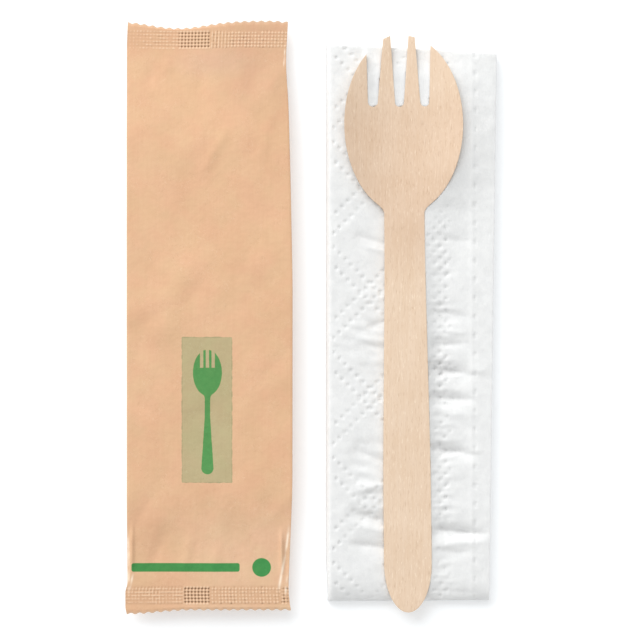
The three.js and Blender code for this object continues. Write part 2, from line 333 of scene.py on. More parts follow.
def fold_highlight(x, y):
    """How strong the painted highlight is along the hard folds, from 0 to 1."""
    pale = np.zeros_like(x)
    for start, end, width in HIGHLIGHT_FOLDS:
        pale = np.maximum(pale, crease(x, y, start, end, width, 1.0))
    return pale * np.clip(0.75 + 1.1 * noise_at(x, y, 1.6, 6.6), 0, 1)


print(len(PLEATS), "pleats and", len(HIGHLIGHT_FOLDS), "worn folds")


# %% The relief of the filled part
def folds(x, y, count, seed):
    """Straight folds at random places: two flat facets that meet along each, fading out with distance."""
    random = np.random.default_rng(seed)
    height = np.zeros_like(x)
    for _ in range(count):
        middle_x, middle_y = random.uniform(-21, 21), random.uniform(-72, 72)
        angle = random.choice([-1, 1]) * random.uniform(0.5, 1.35)
        reach = random.uniform(7, 19)
        ahead = (x - middle_x) * math.cos(angle) + (y - middle_y) * math.sin(angle)
        aside = (y - middle_y) * math.cos(angle) - (x - middle_x) * math.sin(angle)
        window = smooth_step(np.hypot(ahead * 0.7, aside) / reach, 1, 0.1)
        bend = np.sqrt(aside**2 + 0.3**2) / reach
        height += random.choice([-1, 1]) * random.uniform(0.25, 0.65) * bend * window
    return height


def pouch_relief(x, y):
    slow = 0.22 * noise_at(x, y, 27, 3.1) + 0.10 * noise_at(x, y, 11, 8.4)
    folded = 0.12 * np.abs(noise_at(x, y, 15, 21.7)) + 0.05 * np.abs(noise_at(x, y, 6.5, 5.3))
    relief = slow - folded + 0.012 * noise_at(x, y, 1.8, 2.9) + folds(x, y, 46, 11)
    for start, end, width, height in PLEATS:
        relief += crease(x, y, start, end, width, height)
    return relief


across = np.linspace(-20, 20, 6)
print("relief across the middle, in mm:", np.round(pouch_relief(across, np.zeros(6)), 2))


# %% The crimping of the end seals
def crimp(x, y, column):
    """The dots of the end seals: up to 1 in a deep dot, and below 0 where the paper stands up."""
    from_end = POUCH_LENGTH / 2 - np.abs(y) - PLAIN_STRIP
    in_band = (from_end > 0) & (from_end < DOT_ROWS * DOT_PITCH_Y)
    across = np.cos(2 * np.pi * (column / POINTS_PER_DOT - 0.5))
    along = np.cos(2 * np.pi * (from_end / DOT_PITCH_Y - 0.5))
    dots = np.clip(0.55 * (across + along), -0.35, 1)
    patchy = noise_at(x, y, 3.4, 7.7)
    uneven = 1 + 1.2 * noise_at(x, y, 0.95, 4.9)
    at_top = y > 0
    # Over the fin the paper is thick, and the dots are deep.
    fin_left = np.where(at_top, FIN_LEFT, FIN_LEFT + FIN_SHIFT)
    over_fin = smooth_step(x, fin_left - 0.7, fin_left) * smooth_step(x, FIN_RIGHT + 0.5, FIN_RIGHT - 0.2)
    # Right of it they stand up as beads, paled as a painted highlight, or join into upright columns close to
    # the fin.
    right_of_fin = smooth_step(x, FIN_RIGHT, FIN_RIGHT + 0.6)
    columns_beside_fin = np.where(at_top, smooth_step(x, 6.5, 3.5), 0.15) * right_of_fin
    raised = -np.clip(0.5 * (across + along), -0.45, 1) * (0.5 + 0.4 * patchy) * uneven
    at_right = raised * (right_of_fin - columns_beside_fin)
    at_right -= (0.34 * across + 0.1 * along) * uneven * columns_beside_fin
    # Left of it they are faint: rows in the far seal, and columns in the near one.
    streaks_left = (0.2 * along * (0.35 + 0.65 * smooth_step(x, -23, -14)) + 0.09 * across) * uneven
    at_left = np.where(at_top, streaks_left, 0.28 * across * (1 + patchy) + 0.8 * raised) * (1 - right_of_fin)
    # The near seal's right corner is pressed deep again.
    corner = np.where(at_top, 0.0, smooth_step(x, 19.3, 20.2))
    dots = np.clip(dots * np.where(at_top, 1.0, 1.3), -0.35, 1)
    pressed = dots * np.maximum(over_fin, 0.6 * corner * uneven)
    pressed += (at_right + at_left) * (1 - over_fin) * (1 - corner)
    return np.where(in_band, pressed, 0.0)


# %% [markdown]
# ### Building the shell
# A grid is added, extruded once to give the front and the back with a thin wall between them, and then
# every point is moved to its place. The crimping pushes the front and the back together, so the dots
# show on both. What the material has to know is kept at each point as an attribute: how deep it is
# pressed, how near it is to a cut end, how strong a painted fold highlight is, and whether it is on the
# printed front.

# %% The paper shell
def pouch_shell():
    last_row = len(ROW_PLACES) - 1
    piece = new_grid("pouch_paper", COLUMNS, last_row)
    bpy.ops.object.mode_set(mode="EDIT")
    bpy.ops.mesh.select_all(action="SELECT")
    bpy.ops.mesh.extrude_region_move(TRANSFORM_OT_translate={"value": (0, 0, 1)})
    bpy.ops.object.mode_set(mode="OBJECT")
    grid = points_of(piece)
    column = np.round((grid[:, 0] + 0.5) * COLUMNS)
    row = np.round((grid[:, 1] + 0.5) * last_row).astype(int)
    is_front = grid[:, 2] > 0.5
    y = ROW_PLACES[row]
    share = column / COLUMNS
    share = np.where(column == 1, EDGE_COLUMN / COLUMNS, share)
    share = np.where(column == COLUMNS - 1, 1 - EDGE_COLUMN / COLUMNS, share)
    left, right = pouch_edges(y)
    x = left + share * (right - left)
    full = fullness(2 * share - 1, y, FRONT_SQUARENESS)
    full_behind = fullness(2 * share - 1, y, BACK_SQUARENESS)
    from_end = POUCH_LENGTH / 2 - np.abs(y)
    near_end = smooth_step(from_end, 1.3, 0)
    scallop = TOOTH_DEPTH * 0.5 * (1 - np.cos(2 * np.pi * column / TOOTH_COLUMNS))
    pressed = crimp(x, y, column)
    sheet = SEAL_HEIGHT + seal_lift(x, y) * (1 - full) - DOT_PRESS * pressed
    settled = pouch_relief(x, y) * smooth_step(full, RELIEF_STARTS, RELIEF_FULL)
    front = sheet + SEAL_THICKNESS / 2 + FRONT_SWELL * full + settled
    back = np.maximum(UNDERSIDE, sheet - SEAL_THICKNESS / 2 - BACK_SWELL * full_behind - 0.5 * settled)
    placed = np.empty_like(grid)
    placed[:, 0] = POUCH_MIDDLE_X + x
    placed[:, 1] = y - np.sign(y) * near_end * scallop + end_pull(x, y)
    placed[:, 2] = np.where(is_front, front, back)
    set_points(piece, placed * MM)
    # The crimp mark also places painted shade in deep dots and a painted highlight on raised ones, and the
    # cut-edge mark painted shade on the rim.
    marks = {"crimp": pressed, "cut_edge": smooth_step(from_end, 0.75, 0)}
    marks.update({"fold_highlight": fold_highlight(x, y) * is_front, "front": is_front.astype(float)})
    for name, values in marks.items():
        layer = piece.data.attributes.new(name, "FLOAT", "POINT")
        layer.data.foreach_set("value", values)
    bpy.ops.object.shade_smooth_by_angle(angle=math.radians(55))
    return piece


pouch = pouch_shell()
describe(pouch)


# %% [markdown]
# ### The fin seal
# Where the two long edges of the strip meet, their inner faces are sealed together as a fin and folded
# flat against the back. Seen from above it only shows through as darker crimping. Seen from below it is
# a narrow strip that follows the back, fixed along one edge.

# %% The fin seal
FIN_STEPS, FIN_ROWS = 14, 110
FIN_SHORTER = 1.2  # than the pouch, so that the knife's teeth stay clear of it
FIN_THICKNESS = 0.2
FIN_BELOW = 0.19  # from the back's face down to the middle of the fin


def fin_seal():
    piece = new_grid("pouch_fin_seal", FIN_STEPS, FIN_ROWS)
    grid = points_of(piece)
    y = grid[:, 1] * (POUCH_LENGTH - FIN_SHORTER)
    x = FIN_LEFT + (grid[:, 0] + 0.5) * (FIN_RIGHT - FIN_LEFT)
    left, right = pouch_edges(y)
    full = fullness(2 * (x - left) / (right - left) - 1, y, BACK_SQUARENESS)
    sheet = SEAL_HEIGHT + seal_lift(x, y) * (1 - full)
    back = np.maximum(UNDERSIDE, sheet - SEAL_THICKNESS / 2 - BACK_SWELL * full)
    ripple = 0.03 * noise_at(x, y, 7, 4.4)
    placed = np.empty_like(grid)
    placed[:, 0] = POUCH_MIDDLE_X + x
    placed[:, 1] = y + end_pull(x, y)
    placed[:, 2] = back - FIN_BELOW + ripple
    set_points(piece, placed * MM)
    apply_modifier(piece, "SOLIDIFY", thickness=FIN_THICKNESS * MM, offset=0)
    bpy.ops.object.shade_smooth()
    return piece


fin = fin_seal()
describe(fin)

# %% [markdown]
# ## The spork
# The real spork is stamped from a sheet of veneer and then pressed in a hot mould, which gives it its
# bowl. It is made here in the same order: a flat blank, slots cut from it, edges rounded as by
# tumbling, and a press that gives every point its height in the mould.

# %% Sizes of the spork
spork_low, spork_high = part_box("wooden_spork")
VENEER = 1.6
HEAD_MIDDLE_Y = 135.35
HEAD_HALF_WIDTH = 16.4
HEAD_REACH = 24.65
NECK_Y = 110.7
NECK_HALF_WIDTH = 5.55
NECK_EASE = 2.4
HANDLE_HALF_WIDTH = 6.6
HANDLE_WIDEST = 26
HANDLE_END = 13.6
CUP_HEIGHT = 3.4  # of the head's two sides above its middle line
CUP_FROM, CUP_FULL_FROM = 100, 128
NECK_RISE, NECK_RISE_Y = 1.2, 100  # the handle's low arch
TIP_RISE = 0.8
SPORK_LENGTH = 160
HEAD_POINTS, END_POINTS = 128, 56  # round the oval head, and round the circle for a handle or slot end
TIP_ROUNDING, EDGE_ROUNDING = 0.7, 0.16
SLOTS = [
    # x of the root, its width, x of the mouth, its width
    (-8.4, 2.8, -7.9, 4.6),
    (-1.0, 2.5, -1.1, 5.7),
    (6.0, 2.5, 5.55, 4.6),
]
SLOT_ROOT_Y, SLOT_MOUTH_Y = 140.3, 161  # the mouth lies past the tips
SECOND_TINE = (-6.6, -2.8)  # from x to x
TINE_LEAN, TINE_EXTRA = 0.4, 0.6  # the second tine's tip, to the right and up
SPORK_TURN = math.radians(0.6)
TURN_MATRIX = np.array(
    [[math.cos(SPORK_TURN), -math.sin(SPORK_TURN)], [math.sin(SPORK_TURN), math.cos(SPORK_TURN)]]
)
SPORK_END_X = (spork_low.x + spork_high.x) / 2 / MM + HEAD_MIDDLE_Y * math.sin(SPORK_TURN)
SPORK_END_Y = spork_low.y / MM - 0.05


def handle_half_width(y):
    return HANDLE_HALF_WIDTH - (HANDLE_HALF_WIDTH - NECK_HALF_WIDTH) * smooth_step(y, HANDLE_WIDEST, NECK_Y)


# %% A round-ended blank
def round_ended_blank(name, middle_x, half_width, end_length, end_y, stations, low, high):
    """Half an oval at the lower end, pulled up through stations (y, middle x, half width), as a slab."""
    start_alone()
    bpy.ops.mesh.primitive_circle_add(vertices=END_POINTS, radius=MM, location=(0, 0, 0))
    piece = bpy.context.object
    piece.name = name
    bpy.ops.object.mode_set(mode="EDIT")
    bpy.ops.mesh.select_all(action="SELECT")
    bpy.ops.transform.resize(value=(half_width, end_length, 1))
    select_in_edit(piece, "VERT", lambda point: point.co.y > 0.001 * MM)
    bpy.ops.mesh.delete(type="VERT")
    bpy.ops.mesh.select_all(action="SELECT")
    bpy.ops.transform.translate(value=(middle_x * MM, end_y * MM, low * MM))
    select_in_edit(piece, "VERT", lambda point: point.co.y > (end_y - 0.001) * MM)
    y, x, half = end_y, middle_x, half_width
    for next_y, next_x, next_half in stations:
        move = ((next_x - x) * MM, (next_y - y) * MM, 0)
        bpy.ops.mesh.extrude_region_move(TRANSFORM_OT_translate={"value": move})
        centre = (next_x * MM, next_y * MM, low * MM)
        bpy.ops.transform.resize(value=(next_half / half, 1, 1), center_override=centre)
        y, x, half = next_y, next_x, next_half
    bpy.ops.mesh.edge_face_add()
    bpy.ops.mesh.select_all(action="SELECT")
    bpy.ops.mesh.edge_face_add()
    bpy.ops.mesh.extrude_region_move(TRANSFORM_OT_translate={"value": (0, 0, (high - low) * MM)})
    bpy.ops.mesh.select_all(action="SELECT")
    bpy.ops.mesh.normals_make_consistent(inside=False)
    bpy.ops.object.mode_set(mode="OBJECT")
    return piece


# %% The flat blank of the spork
def head_blank():
    start_alone()
    bpy.ops.mesh.primitive_circle_add(vertices=HEAD_POINTS, radius=MM, fill_type="NGON", location=(0, 0, 0))
    piece = bpy.context.object
    piece.name = "wooden_spork_pressed"
    bpy.ops.object.mode_set(mode="EDIT")
    bpy.ops.mesh.select_all(action="SELECT")
    bpy.ops.transform.resize(value=(HEAD_HALF_WIDTH, HEAD_REACH, 1))
    bpy.ops.transform.translate(value=(0, HEAD_MIDDLE_Y * MM, 0))
    bpy.ops.mesh.extrude_region_move(TRANSFORM_OT_translate={"value": (0, 0, VENEER * MM)})
    bpy.ops.mesh.select_all(action="SELECT")
    bpy.ops.mesh.normals_make_consistent(inside=False)
    bpy.ops.object.mode_set(mode="OBJECT")
    return piece


def combine(piece, other, operation):
    apply_modifier(piece, "BOOLEAN", object=other, operation=operation, solver="EXACT")
    bpy.data.objects.remove(other, do_unlink=True)


handle_ys = list(np.arange(20, 98, 6.0)) + list(np.arange(99, 117, 1.0))
handle_stations = [(y, 0, float(handle_half_width(y))) for y in handle_ys]
spork = head_blank()
handle = round_ended_blank(
    "handle_blank", 0, HANDLE_HALF_WIDTH, HANDLE_END, HANDLE_END, handle_stations, 0, VENEER
)
combine(spork, handle, "UNION")
select_in_edit(spork, "FACE", lambda face: abs(face.normal.z) > 0.9)
bpy.ops.mesh.dissolve_faces()
bpy.ops.object.mode_set(mode="OBJECT")
for root_x, root_width, mouth_x, mouth_width in SLOTS:
    root_y = SLOT_ROOT_Y + root_width / 2
    stations = [(SLOT_MOUTH_Y, mouth_x, mouth_width / 2)]
    cutter = round_ended_blank(
        "slot_cutter", root_x, root_width / 2, root_width / 2, root_y, stations, -1, VENEER + 1
    )
    combine(spork, cutter, "DIFFERENCE")
describe(spork)


# %% [markdown]
# ### Easing the neck and rounding the edges
# Where the oval head meets the handle the two outlines cross at a corner. The real one has a small
# fillet there, so the outline's points near the neck are moved out by a soft maximum of both widths.
# The inner tines get round corners with a bevel, and then every edge is softened a little.

# %% Easing the neck and leaning the second tine
def eased_half_width(y):
    head = HEAD_HALF_WIDTH * np.sqrt(np.maximum(0, 1 - ((y - HEAD_MIDDLE_Y) / HEAD_REACH) ** 2))
    blade = handle_half_width(y)
    near = np.maximum(0, NECK_EASE - np.abs(head - blade)) / NECK_EASE
    return np.maximum(head, blade) + near * near * NECK_EASE / 4


place = points_of(spork) / MM
at_neck = (place[:, 1] > 100) & (place[:, 1] < 119) & (np.abs(place[:, 0]) > 3)
place[at_neck, 0] = np.sign(place[at_neck, 0]) * eased_half_width(place[at_neck, 1])
in_second_tine = (place[:, 0] > SECOND_TINE[0]) & (place[:, 0] < SECOND_TINE[1])
up_tine = smooth_step(place[:, 1], 142, 159) * in_second_tine
place[:, 0] += TINE_LEAN * up_tine
place[:, 1] += TINE_EXTRA * up_tine
set_points(spork, place * MM)
print("half width at the neck:", round(float(eased_half_width(NECK_Y)), 2), "mm")


# %% Rounding the edges
def is_inner_tip(edge):
    """Whether an edge is an upright corner at the tip of one of the two inner tines."""
    one, other = (spork.data.vertices[number].co for number in edge.vertices)
    upright = math.hypot(one.x - other.x, one.y - other.y) < 0.01 * MM
    return upright and one.y > 158 * MM and abs(one.x) < 6.5 * MM and abs(one.z - other.z) > 1 * MM


make_active(spork)
bpy.ops.object.mode_set(mode="EDIT")
bpy.ops.mesh.select_all(action="SELECT")
bpy.ops.mesh.remove_doubles(threshold=0.12 * MM)
print("inner tine corners:", select_in_edit(spork, "EDGE", is_inner_tip))
bpy.ops.mesh.bevel(offset=TIP_ROUNDING * MM, segments=5, affect="EDGES", clamp_overlap=True)
bpy.ops.mesh.select_mode(type="EDGE")
bpy.ops.mesh.select_all(action="DESELECT")
bpy.ops.mesh.edges_select_sharp(sharpness=math.radians(50))
bpy.ops.mesh.bevel(offset=EDGE_ROUNDING * MM, segments=3, affect="EDGES", clamp_overlap=True)
bpy.ops.object.mode_set(mode="OBJECT")
describe(spork)

# %% [markdown]
# ### The press
# A flat face with points only round its edge can't be pressed into a curve. The blank is bisected by a
# lattice of planes, which gives it points everywhere, and then each point is raised as the mould does:
# the two sides of the head most, the handle in a low arch, and the tips of the tines a little.

# %% Pressing the spork
LATTICE = 1.15  # between the planes
WARP = 0.05  # how far the wood is off the mould's shape


def spork_top(x, y):
    """The height of the upper face above the lowest point of the underside."""
    cup = CUP_HEIGHT * (x / HEAD_HALF_WIDTH) ** 2 * smooth_step(y, CUP_FROM, CUP_FULL_FROM)
    arch = NECK_RISE * (smooth_step(y, 0, NECK_RISE_Y) - smooth_step(y, NECK_RISE_Y, HEAD_MIDDLE_Y))
    return VENEER + cup + arch + TIP_RISE * smooth_step(y, HEAD_MIDDLE_Y, SPORK_LENGTH)


def bisect_all(place, normal):
    bpy.ops.mesh.select_all(action="SELECT")
    bpy.ops.mesh.bisect(plane_co=place, plane_no=normal)


make_active(spork)
bpy.ops.object.mode_set(mode="EDIT")
for y in np.arange(0.9, SPORK_LENGTH, LATTICE):
    bisect_all((0, y * MM, 0), (0, 1, 0))
for x in np.arange(-14.5 * LATTICE, 15 * LATTICE, LATTICE):
    bisect_all((x * MM, 0, 0), (1, 0, 0))
bpy.ops.object.mode_set(mode="OBJECT")
place = points_of(spork) / MM
x, y, z = place.T
warp = WARP * noise_at(x, y, 14, 6.2) * smooth_step(y, 0, 8)
turned = TURN_MATRIX @ np.array([x, y])
height = spork_low.z / MM + spork_top(x, y) - VENEER + z + warp
set_points(spork, np.column_stack([SPORK_END_X + turned[0], SPORK_END_Y + turned[1], height]) * MM)
make_active(spork)
bpy.ops.object.shade_smooth_by_angle(angle=math.radians(40))
describe(spork)


# %% [markdown]
# ## The napkin
# The napkin is one sheet of tissue. It is folded in half across, so that it is two layers with a fold at
# the near end, and then back and forth into six panels. The sheet could be simulated, but twelve layers
# a fraction of a millimetre apart are slow and never lie still. A formula that walks back and forth
# through the panels folds a flat grid exactly, and leaves the layers clear of each other. Only the
# panel on top is seen, so only its upper side is subdivided finely enough to hold the embossing.

# %% Sizes of the napkin
napkin_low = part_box("folded_napkin")[0]
NAPKIN_LEFT_X = napkin_low.x / MM + 0.15
NAPKIN_BOTTOM_Y = napkin_low.y / MM
NAPKIN_WIDTH = 46.5
NAPKIN_LENGTH = 154.5
PANELS = 6
PITCH = 0.46  # from one folded pair of layers to the next
HALF_LEAF = 0.1  # from the middle of a pair to each of its layers
TISSUE = 0.13
TURN_STEPS = 5
FINE_CUTS = 7
PUFF = 1.75  # how far the loose top layer stands off the ones below
PUFF_WRINKLES = 1.7  # how much deeper the wrinkles are in the loose layer
WIDENING = 0.022  # the share by which the far end is wider than the middle
STRETCH = 0.55  # how far the far edge's left corner is past the napkin's length
FAR_SLANT, NEAR_SLANT = 0.0085, 0.3  # how far the right ends of the far and near edges are off square
HUG_REACH = 3.9  # how far beside the spork the loose layer swells up against it
HUG_WIDER = 13.0  # the further reach beside the head
HUG_MOST = 2.4  # how far it swells at most
HUG_LEFT = 0.25  # the share of it left of the head
LEFT_RISE = 1.2  # how much higher the puffed left side stands than the tissue beside the handle
HUG_BELOW = 0.1  # how far it stays below the top of the wood
UNDER_MARGIN = -0.3  # how far inside its outline the wood holds the tissue down
UNDER_GAP = 0.04  # between the wood and the tissue
TOP_LAYER = HALF_LEAF + TISSUE / 2 + (PANELS - 1) * PITCH
PANEL_SHARES = np.concatenate([[0, 0.018, 0.045], np.linspace(0.09, 0.955, 12), [0.985, 1]])


# %% The way through the panels, and down and back up the sheet
def panel_path():
    """Points (x, z) and their normals, from the bottom panel's loose edge to the top panel's."""
    radius = PITCH / 2
    inset = radius + HALF_LEAF + TISSUE / 2
    left, right = inset, NAPKIN_WIDTH - inset
    points = []
    for panel in range(PANELS):
        to_right = panel % 2 == 1
        begin, finish = (left, right) if to_right else (right, left)
        begin = NAPKIN_WIDTH - 0.6 if panel == 0 else begin
        finish = NAPKIN_WIDTH if panel == PANELS - 1 else finish
        height = HALF_LEAF + TISSUE / 2 + panel * PITCH
        up = 1 if to_right else -1
        points += [(begin + (finish - begin) * share, height, 0, up) for share in PANEL_SHARES]
        if panel == PANELS - 1:
            break
        for angle in np.linspace(0, math.pi, TURN_STEPS + 1)[1:-1]:
            out = finish + up * math.sin(angle) * radius
            rise = radius * (1 - math.cos(angle))
            points.append((out, height + rise, -math.sin(angle), up * math.cos(angle)))
    return np.array(points)


def length_rows():
    """Places (y, side of the pair): down the lower half to the near fold, and back along the upper."""
    near = [0.2, 0.9, 2.0, 3.6]
    far = [NAPKIN_LENGTH - v for v in (3.2, 1.8, 0.8, 0)]
    rows = np.concatenate([near, np.linspace(6, NAPKIN_LENGTH - 5, 46), far])
    turn = [(0.2 - HALF_LEAF * math.sin(a), -math.cos(a)) for a in np.linspace(0, math.pi, 5)[1:-1]]
    return np.array([(y, -1.0) for y in rows[::-1]] + turn + [(y, 1.0) for y in rows])


PATH = panel_path()
ROWS = length_rows()
flat_width = np.hypot(*np.diff(PATH[:, :2], axis=0).T).sum()
print("napkin grid:", len(PATH) - 1, "by", len(ROWS) - 1)
print("flat size:", round(flat_width), "by", 2 * NAPKIN_LENGTH)

# %% [markdown]
# ### The napkin's surface
# Embossing rollers press rows of little dots into the tissue, in pairs of lines that cross, and a line of
# dashes near its rim. The loose top layer also wrinkles across the stack, because it was folded tight and
# has sprung open: a few sharp valleys, fine puckers along the handle, and two crumpled patches left of
# it. Each of these is a height added to the upper side.

# %% Sizes of the embossing
CROSSING = (16.2, -22.4)  # where two pairs of dotted lines cross
LINE_PERIOD = 20.63
LINE_PAIR = 3.5
DOT_STEP = LINE_PERIOD / 9
DOT_EDGE, DOT_FLOOR = 0.75, 0.15  # the radii of a dot's rim and of its deep middle
DOT_DEPTH = 0.45
DOTS_START_X, DOTS_END_X = 6.3, 38.2
RIM_LINE_X = 45.3
DASH_STEP = 5.2
print("from one pair of dotted lines to the next:", LINE_PERIOD, "mm, dots every", round(DOT_STEP, 2), "mm")

# %% The napkin's valleys and crumpled patches
CRUMPLED = [
    # x, y, half width, half length, strength
    (16, -7, 6.5, 9.5, 1.0),
    (16, -45, 7.0, 12, 0.8),
]
VALLEYS = [
    # start, end, width, height, in the frame's millimetres
    ((28.0, -13.2), (47.0, -16.2), 2.2, -1.05),
    ((47.5, -14.6), (30.0, -18.6), 1.1, 0.3),
    ((28.5, -21.8), (46.0, -23.0), 2.0, -0.9),
    ((30.0, -26.0), (46.0, -27.0), 2.0, 0.22),
    ((29.5, -35.4), (47.5, -38.4), 2.0, -1.0),
    ((46.5, -36.8), (31.0, -40.4), 1.1, 0.26),
    ((30.0, -58.6), (50.0, -60.2), 1.8, -1.05),
    ((31.0, -62.4), (50.0, -62.4), 1.5, 0.38),
    ((30.0, -65.6), (46.0, -65.2), 1.3, -0.22),
    ((24.5, -57.8), (9.5, -53.6), 2.1, -0.75),
    ((24.5, -60.6), (10.0, -57.0), 1.5, 0.28),
    ((25.0, -64.4), (9.0, -62.6), 1.8, -0.6),
    ((13.0, 22.6), (24.5, 19.4), 0.8, -0.22),
    ((24.5, 17.0), (13.0, 20.2), 0.8, 0.16),
    ((16.0, -2.6), (24.5, 0.5), 0.7, -0.2),
    ((24.0, -9.4), (14.5, -7.2), 0.8, -0.2),
    ((29.0, 2.0), (46.0, 0.0), 1.6, -0.3),
    ((29.5, -3.2), (45.0, -4.6), 1.3, 0.24),
    ((29.0, -8.0), (45.0, -7.0), 1.3, -0.26),
    ((31.5, 22.5), (46.0, 21.0), 1.6, -0.24),
    ((33.0, -76.0), (47.0, -76.6), 1.6, -0.24),
    ((12.0, -36.5), (24.0, -42.0), 1.4, -0.34),
    ((13.0, -48.0), (24.0, -45.5), 1.2, 0.26),
]
print(len(VALLEYS), "valleys and ridges,", len(CRUMPLED), "crumpled patches")


# %% The embossed dots
def in_spork_axes(x, y):
    """The place measured from the spork's end, along its own axes."""
    return TURN_MATRIX.T @ np.array([x - SPORK_END_X, y - SPORK_END_Y])


def crowded_dots(x, y, first, second):
    """The dots fill the whole lattice in some patches just right of the spork's handle."""
    own_x, own_y = in_spork_axes(x, y)
    beside = smooth_step(own_x, HANDLE_HALF_WIDTH + 6, HANDLE_HALF_WIDTH + 4.5) * (own_x > 0)
    patches = smooth_step(noise_at(x * 0.3, y, 8, 12.6), -0.45, -0.1) * smooth_step(own_y, NECK_Y + 8, NECK_Y)
    gaps = [place - DOT_STEP * np.round(place / DOT_STEP) for place in (first, second)]
    return 1.3 * smooth_step(np.hypot(*gaps), DOT_EDGE, DOT_FLOOR) * beside * patches


def embossed(x, y):
    """1 in the middle of a pressed dot or dash and 0 between them."""
    ahead, aside = x - CROSSING[0], y - CROSSING[1]
    first, second = (ahead + aside) / math.sqrt(2), (ahead - aside) / math.sqrt(2)
    dots = np.zeros_like(x)
    for across, along in ((first, second), (second, first)):
        from_pair = np.abs(across - LINE_PERIOD * np.round(across / LINE_PERIOD)) - LINE_PAIR / 2
        from_dot = along - DOT_STEP * np.round(along / DOT_STEP)
        dots = np.maximum(dots, smooth_step(np.hypot(from_pair, from_dot), DOT_EDGE, DOT_FLOOR))
    dots *= smooth_step(x, DOTS_END_X + 1.5, DOTS_END_X - 0.5)
    dots *= smooth_step(x, DOTS_START_X - 1, DOTS_START_X)
    dots = np.maximum(dots, crowded_dots(x, y, first, second)) * (0.75 + 0.45 * noise_at(x, y, 9, 3.8))
    from_dash = y - DASH_STEP * np.round(y / DASH_STEP)
    dash = smooth_step(np.abs(x - RIM_LINE_X), 0.5, 0.1) * smooth_step(np.abs(from_dash), 1.0, 0.5)
    return np.maximum(dots, 0.6 * dash)


# %% The wrinkles
def wrinkles(x, y):
    relief = 0.13 * noise_at(x * 0.6, y, 15, 2.2) + 0.07 * noise_at(x * 0.55, y, 5.5, 9.1)
    relief -= 0.14 * np.abs(noise_at(x * 0.5, y, 11, 14.3)) - 0.03
    relief += 0.022 * noise_at(x, y, 1.9, 5.5)
    relief += 0.09 * np.exp(-(((x - RIM_LINE_X + 0.9) / 0.7) ** 2))
    own_x, own_y = in_spork_axes(x, y)
    beside = np.exp(-(((own_x - HANDLE_HALF_WIDTH - 2.2) / 4.2) ** 2)) * smooth_step(own_y, NECK_Y, 90)
    relief += 0.26 * beside * noise_at(x * 0.25, y, 1.6, 7.9)
    creased = noise_at(x * 0.45 + y * 0.3, y, 2.4, 3.3)
    for at_x, at_y, half_width, half_length, strength in CRUMPLED:
        patch = np.exp(-(((x - at_x) / half_width) ** 2) - ((y - at_y) / half_length) ** 2)
        relief += 0.3 * strength * patch * creased
    for start, end, width, height in VALLEYS:
        relief += sharp_crease(x, y, start, end, width, height)
    return relief


# %% [markdown]
# ### Folding the napkin
# The grid is laid along the way through the panels, and Solidify gives the tissue its thickness. The
# stack is then pressed thin towards its folds, which is how a folded napkin's soft edges come about.
# Where the spork rests on it, the top layer is held down under the wood, and beside the wood and in its
# slots the loose tissue swells up against it.

# %% The folded sheet
def folded_sheet():
    last_column, last_row = len(PATH) - 1, len(ROWS) - 1
    piece = new_grid("napkin_tissue", last_column, last_row)
    grid = points_of(piece)
    column = np.round((grid[:, 0] + 0.5) * last_column).astype(int)
    row = np.round((grid[:, 1] + 0.5) * last_row).astype(int)
    path, (y, side) = PATH[column].T, ROWS[row].T
    leaf = HALF_LEAF * side
    set_points(piece, np.column_stack([path[0] + path[2] * leaf, y, path[1] + path[3] * leaf]) * MM)
    apply_modifier(piece, "SOLIDIFY", thickness=TISSUE * MM, offset=0)
    top = (TOP_LAYER + HALF_LEAF) * MM

    def on_top(face):
        return face.center.z > top - 0.03 * MM and face.normal.z > 0.3

    print("faces to subdivide:", select_in_edit(piece, "FACE", on_top))
    bpy.ops.mesh.subdivide(number_cuts=FINE_CUTS)
    bpy.ops.object.mode_set(mode="OBJECT")
    return piece


napkin = folded_sheet()
describe(napkin)


# %% The napkin's outline, and the spork's place on it
def round_over(distance, reach):
    """A quarter circle's rise: steep at the edge and level after the reach."""
    return np.sqrt(1 - (1 - np.clip(distance / reach, 0, 1)) ** 2)


def placed_on_table(x, y):
    """The plan of the settled napkin: a little wider at its far end, and not quite square."""
    along, across = 2 * y / NAPKIN_LENGTH - 1, x / NAPKIN_WIDTH
    placed_x = NAPKIN_LEFT_X + x * (1 + WIDENING * along) + 0.5 * smooth_step(y, 14, 0) * (1 - across)
    placed_y = (y + STRETCH * y / NAPKIN_LENGTH) * (1 - FAR_SLANT * across * (1 + along))
    placed_y += NAPKIN_BOTTOM_Y + 0.25 + NEAR_SLANT * across * (1 - along) / 2
    return placed_x, placed_y


def past_the_spork(own_x, own_y):
    """How far a place lies beside the spork's outline: below zero under the wood, above zero off it."""
    in_end = np.sqrt(np.maximum(0, 1 - ((HANDLE_END - own_y) / HANDLE_END) ** 2))
    half = np.where(own_y < HANDLE_END, HANDLE_HALF_WIDTH * in_end, eased_half_width(own_y))
    past = np.abs(own_x) - half
    for root_x, root_width, mouth_x, mouth_width in SLOTS:
        up_slot = np.clip((own_y - SLOT_ROOT_Y) / (SPORK_LENGTH - SLOT_ROOT_Y), 0, 1)
        slot_x = root_x + (mouth_x - root_x) * up_slot
        slot_half = (root_width + (mouth_width - root_width) * up_slot) / 2
        in_slot = np.minimum(slot_half - np.abs(own_x - slot_x), own_y - SLOT_ROOT_Y)
        past = np.maximum(past, in_slot)
    return np.maximum(past, own_y - SPORK_LENGTH)


# %% Settling the napkin
def swelling(own_x, own_y, past, gap, from_far_edge):
    """How far the loose layer swells towards the top of the wood, which is higher by the gap."""
    reach = HUG_REACH + HUG_WIDER * smooth_step(own_y, 74, 128)
    beside = np.maximum(smooth_step(own_x, -3, 4), HUG_LEFT * smooth_step(own_y, 95, 118))
    in_slots = (own_y > SLOT_ROOT_Y) & (np.abs(own_x) < 11)
    falling = (1 - np.clip(past / reach, 0, 1)) ** 2 * (0.15 + 0.85 * smooth_step(from_far_edge, 0, 9))
    return np.clip(gap - HUG_BELOW, 0, HUG_MOST) * falling * np.maximum(beside, in_slots)


